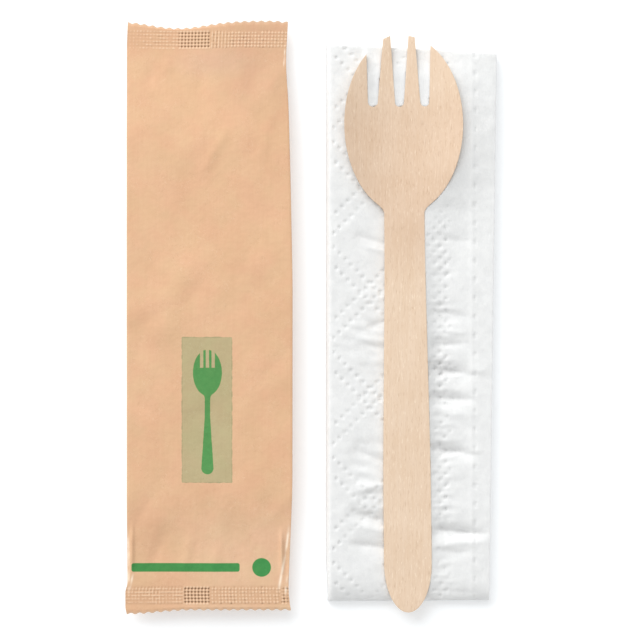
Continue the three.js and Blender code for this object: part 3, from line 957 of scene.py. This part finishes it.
def settle_napkin(piece):
    x, y, z = (points_of(piece) / MM).T
    from_right = NAPKIN_WIDTH - x
    # The folds are thin at the left and near edges, and the loose layer closes down on all but the far one.
    stacked = z * (0.45 + 0.55 * round_over(x, 1.8)) * (0.6 + 0.4 * round_over(y, 4.5))
    loose = round_over(x, 1.1) * round_over(y, 10 - 4 * x / NAPKIN_WIDTH)
    loose *= 0.84 + 0.16 * round_over(from_right, 1.5)
    placed_x, placed_y = placed_on_table(x, y)
    own_x, own_y = in_spork_axes(placed_x, placed_y)
    past = past_the_spork(own_x, own_y)
    lift = PUFF + PUFF_WRINKLES * wrinkles(placed_x, placed_y) - DOT_DEPTH * embossed(placed_x, placed_y)
    lift += LEFT_RISE * smooth_step(-own_x, HANDLE_HALF_WIDTH - 2, HANDLE_HALF_WIDTH + 19)
    wood_top = spork_low.z / MM + spork_top(np.clip(own_x, -HEAD_HALF_WIDTH, HEAD_HALF_WIDTH), own_y)
    lift += swelling(own_x, own_y, past, wood_top - stacked - lift, NAPKIN_LENGTH - y)
    top = TOP_LAYER + HALF_LEAF
    on_top = smooth_step(z, top - 0.04, top + TISSUE / 2 - 0.01)
    height = stacked + on_top * np.maximum(0.02, lift * loose)
    # Under the wood the tissue is held down, but never below the stack.
    held = np.maximum(stacked, wood_top - VENEER - UNDER_GAP)
    height = np.where((on_top > 0.5) & (past < UNDER_MARGIN), np.minimum(height, held), height)
    set_points(piece, np.column_stack([placed_x, placed_y, height]) * MM)


settle_napkin(napkin)
make_active(napkin)
bpy.ops.object.shade_smooth()
describe(napkin)

# %% [markdown]
# ## Materials
# All three are natural fibres, and they share three effects, built once as node groups: a slow mottling,
# short fibres lying in all directions, and streaks that run one way. Each material sets its own sizes.
# Small helpers add a node and wire it, so that a material reads from its coordinates to its shader.

# %% Node helpers
def wire(tree, value, socket):
    """Links an output to the socket, or sets the socket to a plain value."""
    if isinstance(value, bpy.types.NodeSocket):
        tree.links.new(value, socket)
    else:
        socket.default_value = value


def put(tree, kind, inputs=None, **settings):
    """Adds a node with its settings, and wires its inputs, which are given by name or number."""
    node = tree.nodes.new(kind)
    for name, value in settings.items():
        setattr(node, name, value)
    for name, value in (inputs or {}).items():
        wire(tree, value, node.inputs[name])
    return node


def maths(tree, operation, *values):
    return put(tree, "ShaderNodeMath", dict(enumerate(values)), operation=operation).outputs[0]


def plus(tree, one, other):
    return maths(tree, "ADD", one, other)


def minus(tree, one, other):
    return maths(tree, "SUBTRACT", one, other)


def times(tree, one, other):
    return maths(tree, "MULTIPLY", one, other)


def weighted(tree, *pairs):
    """The sum of some values, each multiplied by its weight."""
    total = 0.0
    for value, weight in pairs:
        total = plus(tree, total, times(tree, value, weight))
    return total


def spread(tree, value, low, high, out_low=0.0, out_high=1.0, ends="SMOOTHSTEP"):
    """Maps low..high to out_low..out_high, with soft ends unless ends is LINEAR."""
    names = ("Value", "From Min", "From Max", "To Min", "To Max")
    inputs = dict(zip(names, (value, low, high, out_low, out_high)))
    return put(tree, "ShaderNodeMapRange", inputs, interpolation_type=ends).outputs["Result"]


# %% Colour and noise helpers
def mix(tree, factor, one, other, blend="MIX"):
    inputs = {"Factor": factor, 6: one, 7: other}
    return put(tree, "ShaderNodeMix", inputs, data_type="RGBA", blend_type=blend).outputs[2]


def tinted(tree, amount, colour, tint):
    """The colour multiplied by a tint, as far as the amount says."""
    return mix(tree, amount, colour, tint, blend="MULTIPLY")


def attribute(tree, name):
    """A mark that was kept at every point of the mesh; 0 on a piece without it."""
    return put(tree, "ShaderNodeAttribute", attribute_name=name).outputs["Fac"]


def stretched_noise(tree, vector, size, stretch, turn=0.0, detail=2.0, waviness=0.0):
    """Noise in patches of a size in metres, longer along Y by stretch, turned about Z."""
    turned = put(tree, "ShaderNodeMapping", {"Vector": vector, "Rotation": (0, 0, turn)}).outputs[0]
    shares = put(tree, "ShaderNodeCombineXYZ", {0: 1.0, 1: maths(tree, "DIVIDE", 1.0, stretch), 2: 1.0})
    scaled = put(tree, "ShaderNodeVectorMath", {0: turned, 1: shares.outputs[0]}, operation="MULTIPLY")
    inputs = {"Vector": scaled.outputs[0], "Scale": maths(tree, "DIVIDE", 1.0, size)}
    inputs.update({"Detail": detail, "Distortion": waviness})
    return put(tree, "ShaderNodeTexNoise", inputs).outputs[0]


def new_group(name, inputs, outputs):
    """A shader node group with named sockets; returns it with its inputs and its output node."""
    tree = bpy.data.node_groups.new(name, "ShaderNodeTree")
    for direction, sockets in (("INPUT", inputs), ("OUTPUT", outputs)):
        for socket, kind in sockets:
            tree.interface.new_socket(socket, in_out=direction, socket_type="NodeSocket" + kind)
    return tree, tree.nodes.new("NodeGroupInput").outputs, tree.nodes.new("NodeGroupOutput")


def effect(tree, group, vector, **sizes):
    """Places a shared effect with its coordinates and sizes, and returns its outputs."""
    return put(tree, "ShaderNodeGroup", {"Vector": vector, **sizes}, node_tree=group).outputs


# %% The shared effects
STRAND_SOCKETS = [("Vector", "Vector"), ("Width", "Float"), ("Slimness", "Float")]
STRAND_TURNS = (0.3, 1.1, 1.9, 2.7)  # the four directions that fibres lie in


def mottling_group():
    """Shade, about 0 to 1, in broad patches with finer ones inside them."""
    sockets = [("Vector", "Vector"), ("Patch", "Float")]
    tree, given, result = new_group("soft_mottling", sockets, [("Shade", "Float")])
    broad = stretched_noise(tree, given["Vector"], given["Patch"], 1.0, detail=3.0)
    wire(tree, spread(tree, broad, 0.3, 0.7), result.inputs["Shade"])
    return tree


def fibre_group():
    """Pale and dark masks and a height for fibres that lie in four directions."""
    outputs = [("Pale", "Float"), ("Dark", "Float"), ("Height", "Float")]
    tree, given, result = new_group("short_fibres", STRAND_SOCKETS, outputs)
    pale, dark, height = 0.0, 0.0, 0.0
    for turn in STRAND_TURNS:
        strands = stretched_noise(tree, given["Vector"], given["Width"], given["Slimness"], turn, detail=1.0)
        pale = maths(tree, "MAXIMUM", pale, spread(tree, strands, 0.66, 0.74))
        dark = maths(tree, "MAXIMUM", dark, spread(tree, strands, 0.33, 0.25))
        height = plus(tree, height, strands)
    wire(tree, pale, result.inputs["Pale"])
    wire(tree, dark, result.inputs["Dark"])
    wire(tree, times(tree, height, 1 / len(STRAND_TURNS)), result.inputs["Height"])
    return tree


def streak_group():
    """Shade, about 0 to 1, in streaks along Y."""
    tree, given, result = new_group("long_streaks", STRAND_SOCKETS, [("Shade", "Float")])
    strands = stretched_noise(tree, given["Vector"], given["Width"], given["Slimness"])
    wire(tree, spread(tree, strands, 0.3, 0.7), result.inputs["Shade"])
    return tree


mottling = mottling_group()
fibres = fibre_group()
streaks = streak_group()
print("node groups:", [tree.name for tree in (mottling, fibres, streaks)])


# %% Starting and finishing a material
def new_material(name):
    """A material with its shader; returns the material, its tree, the shader and Object coordinates."""
    material = bpy.data.materials.new(name)
    material.use_nodes = True
    tree = material.node_tree
    shader = tree.nodes["Principled BSDF"]
    shader.inputs["Specular IOR Level"].default_value = 0.3
    return material, tree, shader, put(tree, "ShaderNodeTexCoord").outputs["Object"]


def surface(tree, shader, colour, unevenness, roughness, height, depth):
    """Gives the shader its colour, a roughness between two limits, and a bump of a depth in metres."""
    wire(tree, colour, shader.inputs["Base Color"])
    wire(tree, spread(tree, unevenness, 0.0, 1.0, *roughness, ends="LINEAR"), shader.inputs["Roughness"])
    bump = put(tree, "ShaderNodeBump", {"Height": height, "Distance": depth, "Strength": 1.0})
    wire(tree, bump.outputs["Normal"], shader.inputs["Normal"])


# %% [markdown]
# ### Print
# The pouch is printed in two inks: a pale olive field with a green picture of a spork on it, and lower
# down a plain green bar and a disc. Each is a distance to a simple outline, worked out with Math nodes
# from the place on the paper, and cut off at zero. The inks are thin, so they multiply the paper's own
# colour rather than cover it.

# %% Distances to printed shapes
PRINT_FIELD = ((-29.0, -25.65), (7.0, 20.2), 0.35)  # middle, half sizes, rounding of the corners
PRINT_BAR = ((-35.0, -69.4), (15.0, 1.2), 0.6)
PRINT_DISC = ((-13.9, -69.4), (2.6, 2.6))
PICTURE_X, PICTURE_HEAD_Y, PICTURE_FOOT_Y = -28.88, -15.33, -41.8
PICTURE_HEAD_HALF = (4.03, 6.4)
PICTURE_NECK_Y, PICTURE_NECK_HALF = -27.7, 0.76
PICTURE_FOOT_RADIUS = 1.7
PICTURE_SLOT_GAP, PICTURE_SLOT_HALF, PICTURE_SLOT_ROOT_Y = 1.6, 0.45, -13.95


def axis_parts(tree, x, y, middle, half):
    """For each axis, how far a place is from the middle, with the half size."""
    return [(minus(tree, value, centre), reach) for value, centre, reach in zip((x, y), middle, half)]


def box_distance(tree, x, y, middle, half, corner):
    """The distance outside a box with round corners, below zero inside it."""
    squares = []
    for away, reach in axis_parts(tree, x, y, middle, half):
        outside = minus(tree, maths(tree, "ABSOLUTE", away), reach - corner)
        side = maths(tree, "MAXIMUM", outside, 0.0)
        squares.append(times(tree, side, side))
    return minus(tree, maths(tree, "SQRT", plus(tree, *squares)), corner)


def oval_distance(tree, x, y, middle, half):
    """The distance outside an oval, below zero inside it."""
    squares = []
    for away, reach in axis_parts(tree, x, y, middle, half):
        share = maths(tree, "DIVIDE", away, reach)
        squares.append(times(tree, share, share))
    return times(tree, minus(tree, maths(tree, "SQRT", plus(tree, *squares)), 1.0), min(half))


def picture_distance(tree, x, y):
    """A little spork: an oval head with three slots, and a handle that widens to a round end."""
    head = oval_distance(tree, x, y, (PICTURE_X, PICTURE_HEAD_Y), PICTURE_HEAD_HALF)
    foot_half = (PICTURE_FOOT_RADIUS, PICTURE_FOOT_RADIUS)
    foot = oval_distance(tree, x, y, (PICTURE_X, PICTURE_FOOT_Y), foot_half)
    aside = maths(tree, "ABSOLUTE", minus(tree, x, PICTURE_X))
    widening = (PICTURE_NECK_Y, PICTURE_FOOT_Y, PICTURE_NECK_HALF, PICTURE_FOOT_RADIUS)
    stem = minus(tree, aside, spread(tree, y, *widening, ends="LINEAR"))
    stem = maths(tree, "MAXIMUM", stem, minus(tree, PICTURE_FOOT_Y, y))
    stem = maths(tree, "MAXIMUM", stem, minus(tree, y, PICTURE_HEAD_Y))
    mark = maths(tree, "SMOOTH_MIN", head, maths(tree, "MINIMUM", stem, foot), 1.1)
    side_slot = maths(tree, "ABSOLUTE", minus(tree, aside, PICTURE_SLOT_GAP))
    slot = minus(tree, maths(tree, "MINIMUM", aside, side_slot), PICTURE_SLOT_HALF)
    slot = maths(tree, "MAXIMUM", slot, minus(tree, PICTURE_SLOT_ROOT_Y, y))
    return maths(tree, "MAXIMUM", mark, times(tree, slot, -1.0))


# %% The inks
OLIVE_INK = (0.67, 0.9, 0.83, 1)
RIM_INK = (0.82, 0.85, 0.82, 1)  # squeezed out along the field's edge
GREEN_INK, GREEN_INK_THIN = (0.11, 0.62, 0.28, 1), (0.2, 0.75, 0.4, 1)
LOWER_INK, LOWER_INK_THIN = (0.065, 0.55, 0.22, 1), (0.14, 0.68, 0.32, 1)
RIM_HALF = 0.1
EDGE_WOBBLE = 0.16
EDGE_SOFTNESS = 0.1


def printed(tree, colour, x, y, fine):
    """The colour with the inks on it, on the pouch's front only. Fine is the paper's fine mottling."""
    on_front = attribute(tree, "front")
    wobble = times(tree, minus(tree, fine, 0.5), EDGE_WOBBLE)
    thin = times(tree, fine, 0.25)
    field = box_distance(tree, x, y, *PRINT_FIELD)
    picture = picture_distance(tree, x, y)
    rim = minus(tree, maths(tree, "ABSOLUTE", plus(tree, field, RIM_HALF)), RIM_HALF)
    bar_or_disc = maths(
        tree, "MINIMUM", box_distance(tree, x, y, *PRINT_BAR), oval_distance(tree, x, y, *PRINT_DISC)
    )
    layers = [
        # distance to the shape, wobble of its edge, ink
        (maths(tree, "MAXIMUM", field, times(tree, picture, -1.0)), wobble, OLIVE_INK),
        (rim, wobble, RIM_INK),
        (picture, 0.0, mix(tree, thin, GREEN_INK, GREEN_INK_THIN)),
        (bar_or_disc, 0.0, mix(tree, thin, LOWER_INK, LOWER_INK_THIN)),
    ]
    for distance, shift, ink in layers:
        inside = spread(tree, plus(tree, distance, shift), EDGE_SOFTNESS, -EDGE_SOFTNESS)
        colour = tinted(tree, times(tree, inside, on_front), colour, ink)
    return colour


# %% [markdown]
# ### Kraft paper
# Brown paper from unbleached pulp. Its colour wanders slowly, pale and dark fibres lie in all
# directions, and the machine leaves faint streaks along it. The seals get a darker band. Painted shade
# darkens the deep dots, the cut rim, the near band and the paper near the far seal; painted light pales
# the raised dots, the hard folds and the paper near the near seal, with a painted sheen under the far seal.

# %% The paper's own colour
KRAFT = (0.715, 0.455, 0.277, 1)
KRAFT_DEEP = (0.655, 0.405, 0.238, 1)
# pale fibres, and the painted highlight on the raised crimp dots
KRAFT_PALE_AND_HIGHLIGHT = (0.80, 0.575, 0.395, 1)
KRAFT_FLECK = (0.47, 0.28, 0.155, 1)
ROSY_TINT = (1.0, 0.955, 0.97, 1)
STRAW_TINT = (0.985, 1.0, 0.99, 1)


def kraft_pulp(tree, place):
    """Plain kraft paper: its colour, its fine mottling and the height of its fibres."""
    broad = effect(tree, mottling, place, Patch=11 * MM)["Shade"]
    fine = effect(tree, mottling, place, Patch=1.6 * MM)["Shade"]
    ribs = effect(tree, streaks, place, Width=0.5 * MM, Slimness=30.0)["Shade"]
    strands = effect(tree, fibres, place, Width=0.16 * MM, Slimness=9.0)
    colour = mix(tree, weighted(tree, (broad, 0.55), (fine, 0.25), (ribs, 0.2)), KRAFT_DEEP, KRAFT)
    elsewhere = put(tree, "ShaderNodeVectorMath", {0: place, 1: (0.3, 0.1, 0.0)}, operation="ADD")
    warmth = effect(tree, mottling, elsewhere.outputs[0], Patch=7 * MM)["Shade"]
    colour = tinted(tree, 1.0, colour, mix(tree, warmth, ROSY_TINT, STRAW_TINT))
    patches = effect(tree, mottling, place, Patch=5 * MM)["Shade"]
    flecked = spread(tree, patches, 0.35, 0.85, 0.05, 0.3)
    colour = mix(tree, times(tree, strands["Pale"], flecked), colour, KRAFT_PALE_AND_HIGHLIGHT)
    colour = mix(tree, times(tree, strands["Dark"], flecked), colour, KRAFT_FLECK)
    return colour, fine, strands["Height"]


# %% Seal band and painted light and shade
KRAFT_SEAL = (0.60, 0.365, 0.22, 1)
# painted shade for the deep crimped dots
KRAFT_DOT_SHADE = (0.20, 0.115, 0.065, 1)
# painted shade for the rim of the cut ends
KRAFT_CUT_RIM_SHADE = (0.62, 0.50, 0.38, 1)
# painted highlight along the hard folds
KRAFT_FOLD_HIGHLIGHT = (0.97, 0.84, 0.68, 1)
PAINTED_SHADE_AND_LIGHT_BY_SEALS = [
    # y where the tint starts and where it is full, x likewise, tint
    ((46, 68), (-31, -18), (0.90, 0.89, 0.905, 1)),  # painted shade towards the far seal's right
    ((-46, -62), (-42, -24), (1.02, 1.07, 1.12, 1)),  # painted light towards the near seal's right
]
SHEEN_PATCH = ((-27.5, 71.0), (13, 5.5))  # middle and half sizes of a painted sheen, just under the far seal
# the tint of that painted sheen, paler and greyer
PAINTED_SHEEN_TINT = (0.955, 0.985, 1.06, 1)
BAND_EDGES = ((2.4, 3.2), (8.4, 7.2))  # from the cut end: where the jaws' darker band begins and ends
NEAR_BAND_AND_SHADE, FAR_BAND = 0.74, 0.3  # how dark the band is on each seal; on the near seal it is darker partly as painted shade


def seal_marks_and_painted_light(tree, colour, x, y):
    """The colour with the seals' darker band, and with painted light and shade: shade near the far seal, on
    the near band, in the deep dots and on the cut rim; light near the near seal, a sheen under the far seal,
    and highlights on the raised dots and hard folds.
    """
    # Painted shade towards the far seal and painted light towards the near seal, both on their right sides.
    for y_range, x_range, tint in PAINTED_SHADE_AND_LIGHT_BY_SEALS:
        amount = times(tree, spread(tree, y, *y_range), spread(tree, x, *x_range, 0.1, 1.0))
        colour = tinted(tree, amount, colour, tint)
    # A painted sheen just under the far seal.
    from_sheen_patch = oval_distance(tree, x, y, *SHEEN_PATCH)
    colour = tinted(tree, spread(tree, from_sheen_patch, 1.0, -4.5, 0.0, 0.8), colour, PAINTED_SHEEN_TINT)
    from_end = minus(tree, POUCH_LENGTH / 2, maths(tree, "ABSOLUTE", y))
    band = times(tree, *(spread(tree, from_end, *edge) for edge in BAND_EDGES))
    # The near seal's band is darker, partly as painted shade.
    band = times(tree, band, spread(tree, y, -1.0, 1.0, NEAR_BAND_AND_SHADE, FAR_BAND))
    colour = mix(tree, band, colour, KRAFT_SEAL)
    pressed = attribute(tree, "crimp")
    # Painted shade darkens the deep dots.
    colour = mix(tree, spread(tree, pressed, 0.08, 0.7, 0.0, 0.88), colour, KRAFT_DOT_SHADE)
    # A painted highlight pales the raised dots.
    colour = mix(tree, spread(tree, pressed, -0.03, -0.25, 0.0, 0.75), colour, KRAFT_PALE_AND_HIGHLIGHT)
    # Painted shade greys the rim of the cut ends.
    colour = mix(tree, times(tree, attribute(tree, "cut_edge"), 0.55), colour, KRAFT_CUT_RIM_SHADE)
    # Painted highlights along the hard folds.
    return mix(tree, times(tree, attribute(tree, "fold_highlight"), 0.85), colour, KRAFT_FOLD_HIGHLIGHT)


# %% Kraft paper
def kraft_paper():
    material, tree, shader, place = new_material("kraft_paper")
    colour, fine, strands = kraft_pulp(tree, place)
    axes = put(tree, "ShaderNodeSeparateXYZ", {0: place}).outputs
    x, y = (maths(tree, "DIVIDE", axes[name], MM) for name in "XY")
    colour = seal_marks_and_painted_light(tree, printed(tree, colour, x, y, fine), x, y)
    height = weighted(tree, (strands, 1.0), (fine, 0.6))
    surface(tree, shader, colour, fine, (0.66, 0.8), height, 0.05 * MM)
    return material


kraft = kraft_paper()
print(kraft.name, "nodes:", len(kraft.node_tree.nodes))

# %% [markdown]
# ### Tissue
# Bleached tissue is nearly white and quite matt. It is creped as it is made, which leaves a fine
# ripple across it, and its fibres are long and loose. Light goes a little way into the soft stack before
# it comes out again. The dots and dashes are in the mesh already.

# %% Tissue
TISSUE_WHITE = (0.79, 0.796, 0.792, 1)
TISSUE_GREY = (0.755, 0.762, 0.76, 1)


def tissue_paper():
    material, tree, shader, place = new_material("tissue")
    broad = effect(tree, mottling, place, Patch=2.4 * MM)["Shade"]
    strands = effect(tree, fibres, place, Width=0.12 * MM, Slimness=12.0)
    crepe = effect(tree, streaks, place, Width=0.3 * MM, Slimness=4.0)["Shade"]
    shade = weighted(tree, (broad, 1.0), (strands["Dark"], -0.5))
    height = weighted(tree, (strands["Height"], 1.0), (crepe, 0.35), (broad, 0.8))
    colour = mix(tree, shade, TISSUE_GREY, TISSUE_WHITE)
    surface(tree, shader, colour, crepe, (0.85, 0.97), height, 0.06 * MM)
    shader.inputs["Specular IOR Level"].default_value = 0.1
    shader.inputs["Subsurface Weight"].default_value = 0.6
    shader.inputs["Subsurface Radius"].default_value = (1, 1, 1)
    shader.inputs["Subsurface Scale"].default_value = 1.5 * MM
    return material


tissue = tissue_paper()
print(tissue.name, "nodes:", len(tissue.node_tree.nodes))

# %% [markdown]
# ### Veneer
# Birch is pale with a fine, slightly wavy grain. Long streaks run the length of the spork, and short
# flecks, where the knife opened the pores, are sprinkled over them. The head is tinted a little browner,
# and round the neck darker still as painted shade. The wood is sanded but not varnished.

# %% Veneer
VENEER_PALE = (0.77, 0.607, 0.462, 1)
VENEER_TAN = (0.70, 0.525, 0.375, 1)
VENEER_FLECK = (0.52, 0.345, 0.21, 1)
VENEER_LIGHT_FLECK = (0.86, 0.71, 0.555, 1)
HEAD_TINT_AND_NECK_SHADE = (0.915, 0.88, 0.862, 1)  # a darker tint over the head, and painted shade round the neck
# Places from the spork's end where that tint comes in, and where it fades towards the tips.
TINT_STARTS, TINT_FADES = (88, 108), (134, 150)


def birch_veneer():
    material, tree, shader, place = new_material("birch_veneer")
    broad = effect(tree, mottling, place, Patch=9 * MM)["Shade"]
    grain = effect(tree, streaks, place, Width=0.55 * MM, Slimness=32.0)["Shade"]
    fine_grain = effect(tree, streaks, place, Width=0.2 * MM, Slimness=20.0)["Shade"]
    pores = stretched_noise(tree, place, 0.2 * MM, 8.0, detail=0.0, waviness=0.7)
    shade = weighted(tree, (broad, 0.35), (grain, 0.4), (fine_grain, 0.25))
    colour = mix(tree, shade, VENEER_TAN, VENEER_PALE)
    dark_flecks = spread(tree, pores, 0.68, 0.78)
    pale_flecks = spread(tree, pores, 0.32, 0.22)
    colour = mix(tree, times(tree, dark_flecks, 0.34), colour, VENEER_FLECK)
    colour = mix(tree, times(tree, pale_flecks, 0.7), colour, VENEER_LIGHT_FLECK)
    along = maths(tree, "DIVIDE", put(tree, "ShaderNodeSeparateXYZ", {0: place}).outputs["Y"], MM)
    along = minus(tree, along, SPORK_END_Y)
    # Round the neck the wood is darkened more, as painted shade where it turns away from the light.
    from_neck = maths(tree, "ABSOLUTE", minus(tree, along, NECK_Y))
    on_head = spread(tree, along, *TINT_STARTS, 0.0, 0.8)
    amount = plus(tree, on_head, spread(tree, from_neck, 16, 3, 0.0, 0.25))
    amount = times(tree, amount, spread(tree, along, *TINT_FADES, 1.0, 0.1))
    colour = tinted(tree, amount, colour, HEAD_TINT_AND_NECK_SHADE)
    height = weighted(tree, (fine_grain, 1.0), (dark_flecks, -0.8))
    surface(tree, shader, colour, fine_grain, (0.58, 0.72), height, 0.025 * MM)
    return material


veneer = birch_veneer()
print(veneer.name, "nodes:", len(veneer.node_tree.nodes))


# %% Giving each piece its material
def dress(piece, material):
    piece.data.materials.clear()
    piece.data.materials.append(material)


for piece, material in ((pouch, kraft), (fin, kraft), (napkin, tissue), (spork, veneer)):
    dress(piece, material)
    print(piece.name, "wears", material.name)

# %% [markdown]
# ## Joining the frame
# Each piece rides on the set's one body and stands for its node in the frame, whose own part is hidden.

for piece, node, slot in (
    (pouch, "kraft_pouch", "kraft_paper"),
    (fin, "kraft_pouch", "kraft_paper"),
    (napkin, "folded_napkin", "tissue"),
    (spork, "wooden_spork", "veneer"),
):
    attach(piece, "root")
    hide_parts(node)

# %% [markdown]
# ## Floor and light
# A white table that glows a little, as a light table does, one large soft light from the upper left and
# an even white surround. The bare table goes fully white, with only soft shadows round the pieces. The
# table is faintly blue and its glow faintly warm, so the bare table is white and the shadows are cool.

# %% Floor
FLOOR_SIZE = 6
FLOOR_BLUISH = (0.738, 0.768, 0.788, 1)
FLOOR_WARM_GLOW = (1.0, 0.975, 0.96, 1)
FLOOR_GLOW = 0.31


def floor_sheet():
    start_alone()
    bpy.ops.mesh.primitive_plane_add(size=FLOOR_SIZE, location=(0, 0, 0))
    piece = bpy.context.object
    piece.name = "floor"
    material, _, shader, _ = new_material("white_floor")
    for socket, value in (
        ("Base Color", FLOOR_BLUISH),
        ("Roughness", 0.9),
        ("Specular IOR Level", 0.0),
        ("Emission Color", FLOOR_WARM_GLOW),
        ("Emission Strength", FLOOR_GLOW),
    ):
        shader.inputs[socket].default_value = value
    dress(piece, material)
    return piece


floor = floor_sheet()

# %% Light
KEY_DISTANCE = 2.0
KEY_SIZE = 1.9
KEY_POWER = 42
KEY_AZIMUTH = math.radians(118)
KEY_ELEVATION = math.radians(34)
SURROUND = 0.72

key_direction = Vector(
    (
        math.cos(KEY_ELEVATION) * math.cos(KEY_AZIMUTH),
        math.cos(KEY_ELEVATION) * math.sin(KEY_AZIMUTH),
        math.sin(KEY_ELEVATION),
    )
)
start_alone()
key_turn = key_direction.to_track_quat("Z", "Y").to_euler()
bpy.ops.object.light_add(type="AREA", location=key_direction * KEY_DISTANCE, rotation=key_turn)
key = bpy.context.object
key.name = "key_light"
key.data.shape = "SQUARE"
key.data.size = KEY_SIZE
key.data.energy = KEY_POWER
world = bpy.data.worlds.new("white_surround")
world.use_nodes = True
world.node_tree.nodes["Background"].inputs["Color"].default_value = (1, 1, 1, 1)
world.node_tree.nodes["Background"].inputs["Strength"].default_value = SURROUND
bpy.context.scene.world = world
print("key light at", [round(v, 2) for v in key.location])
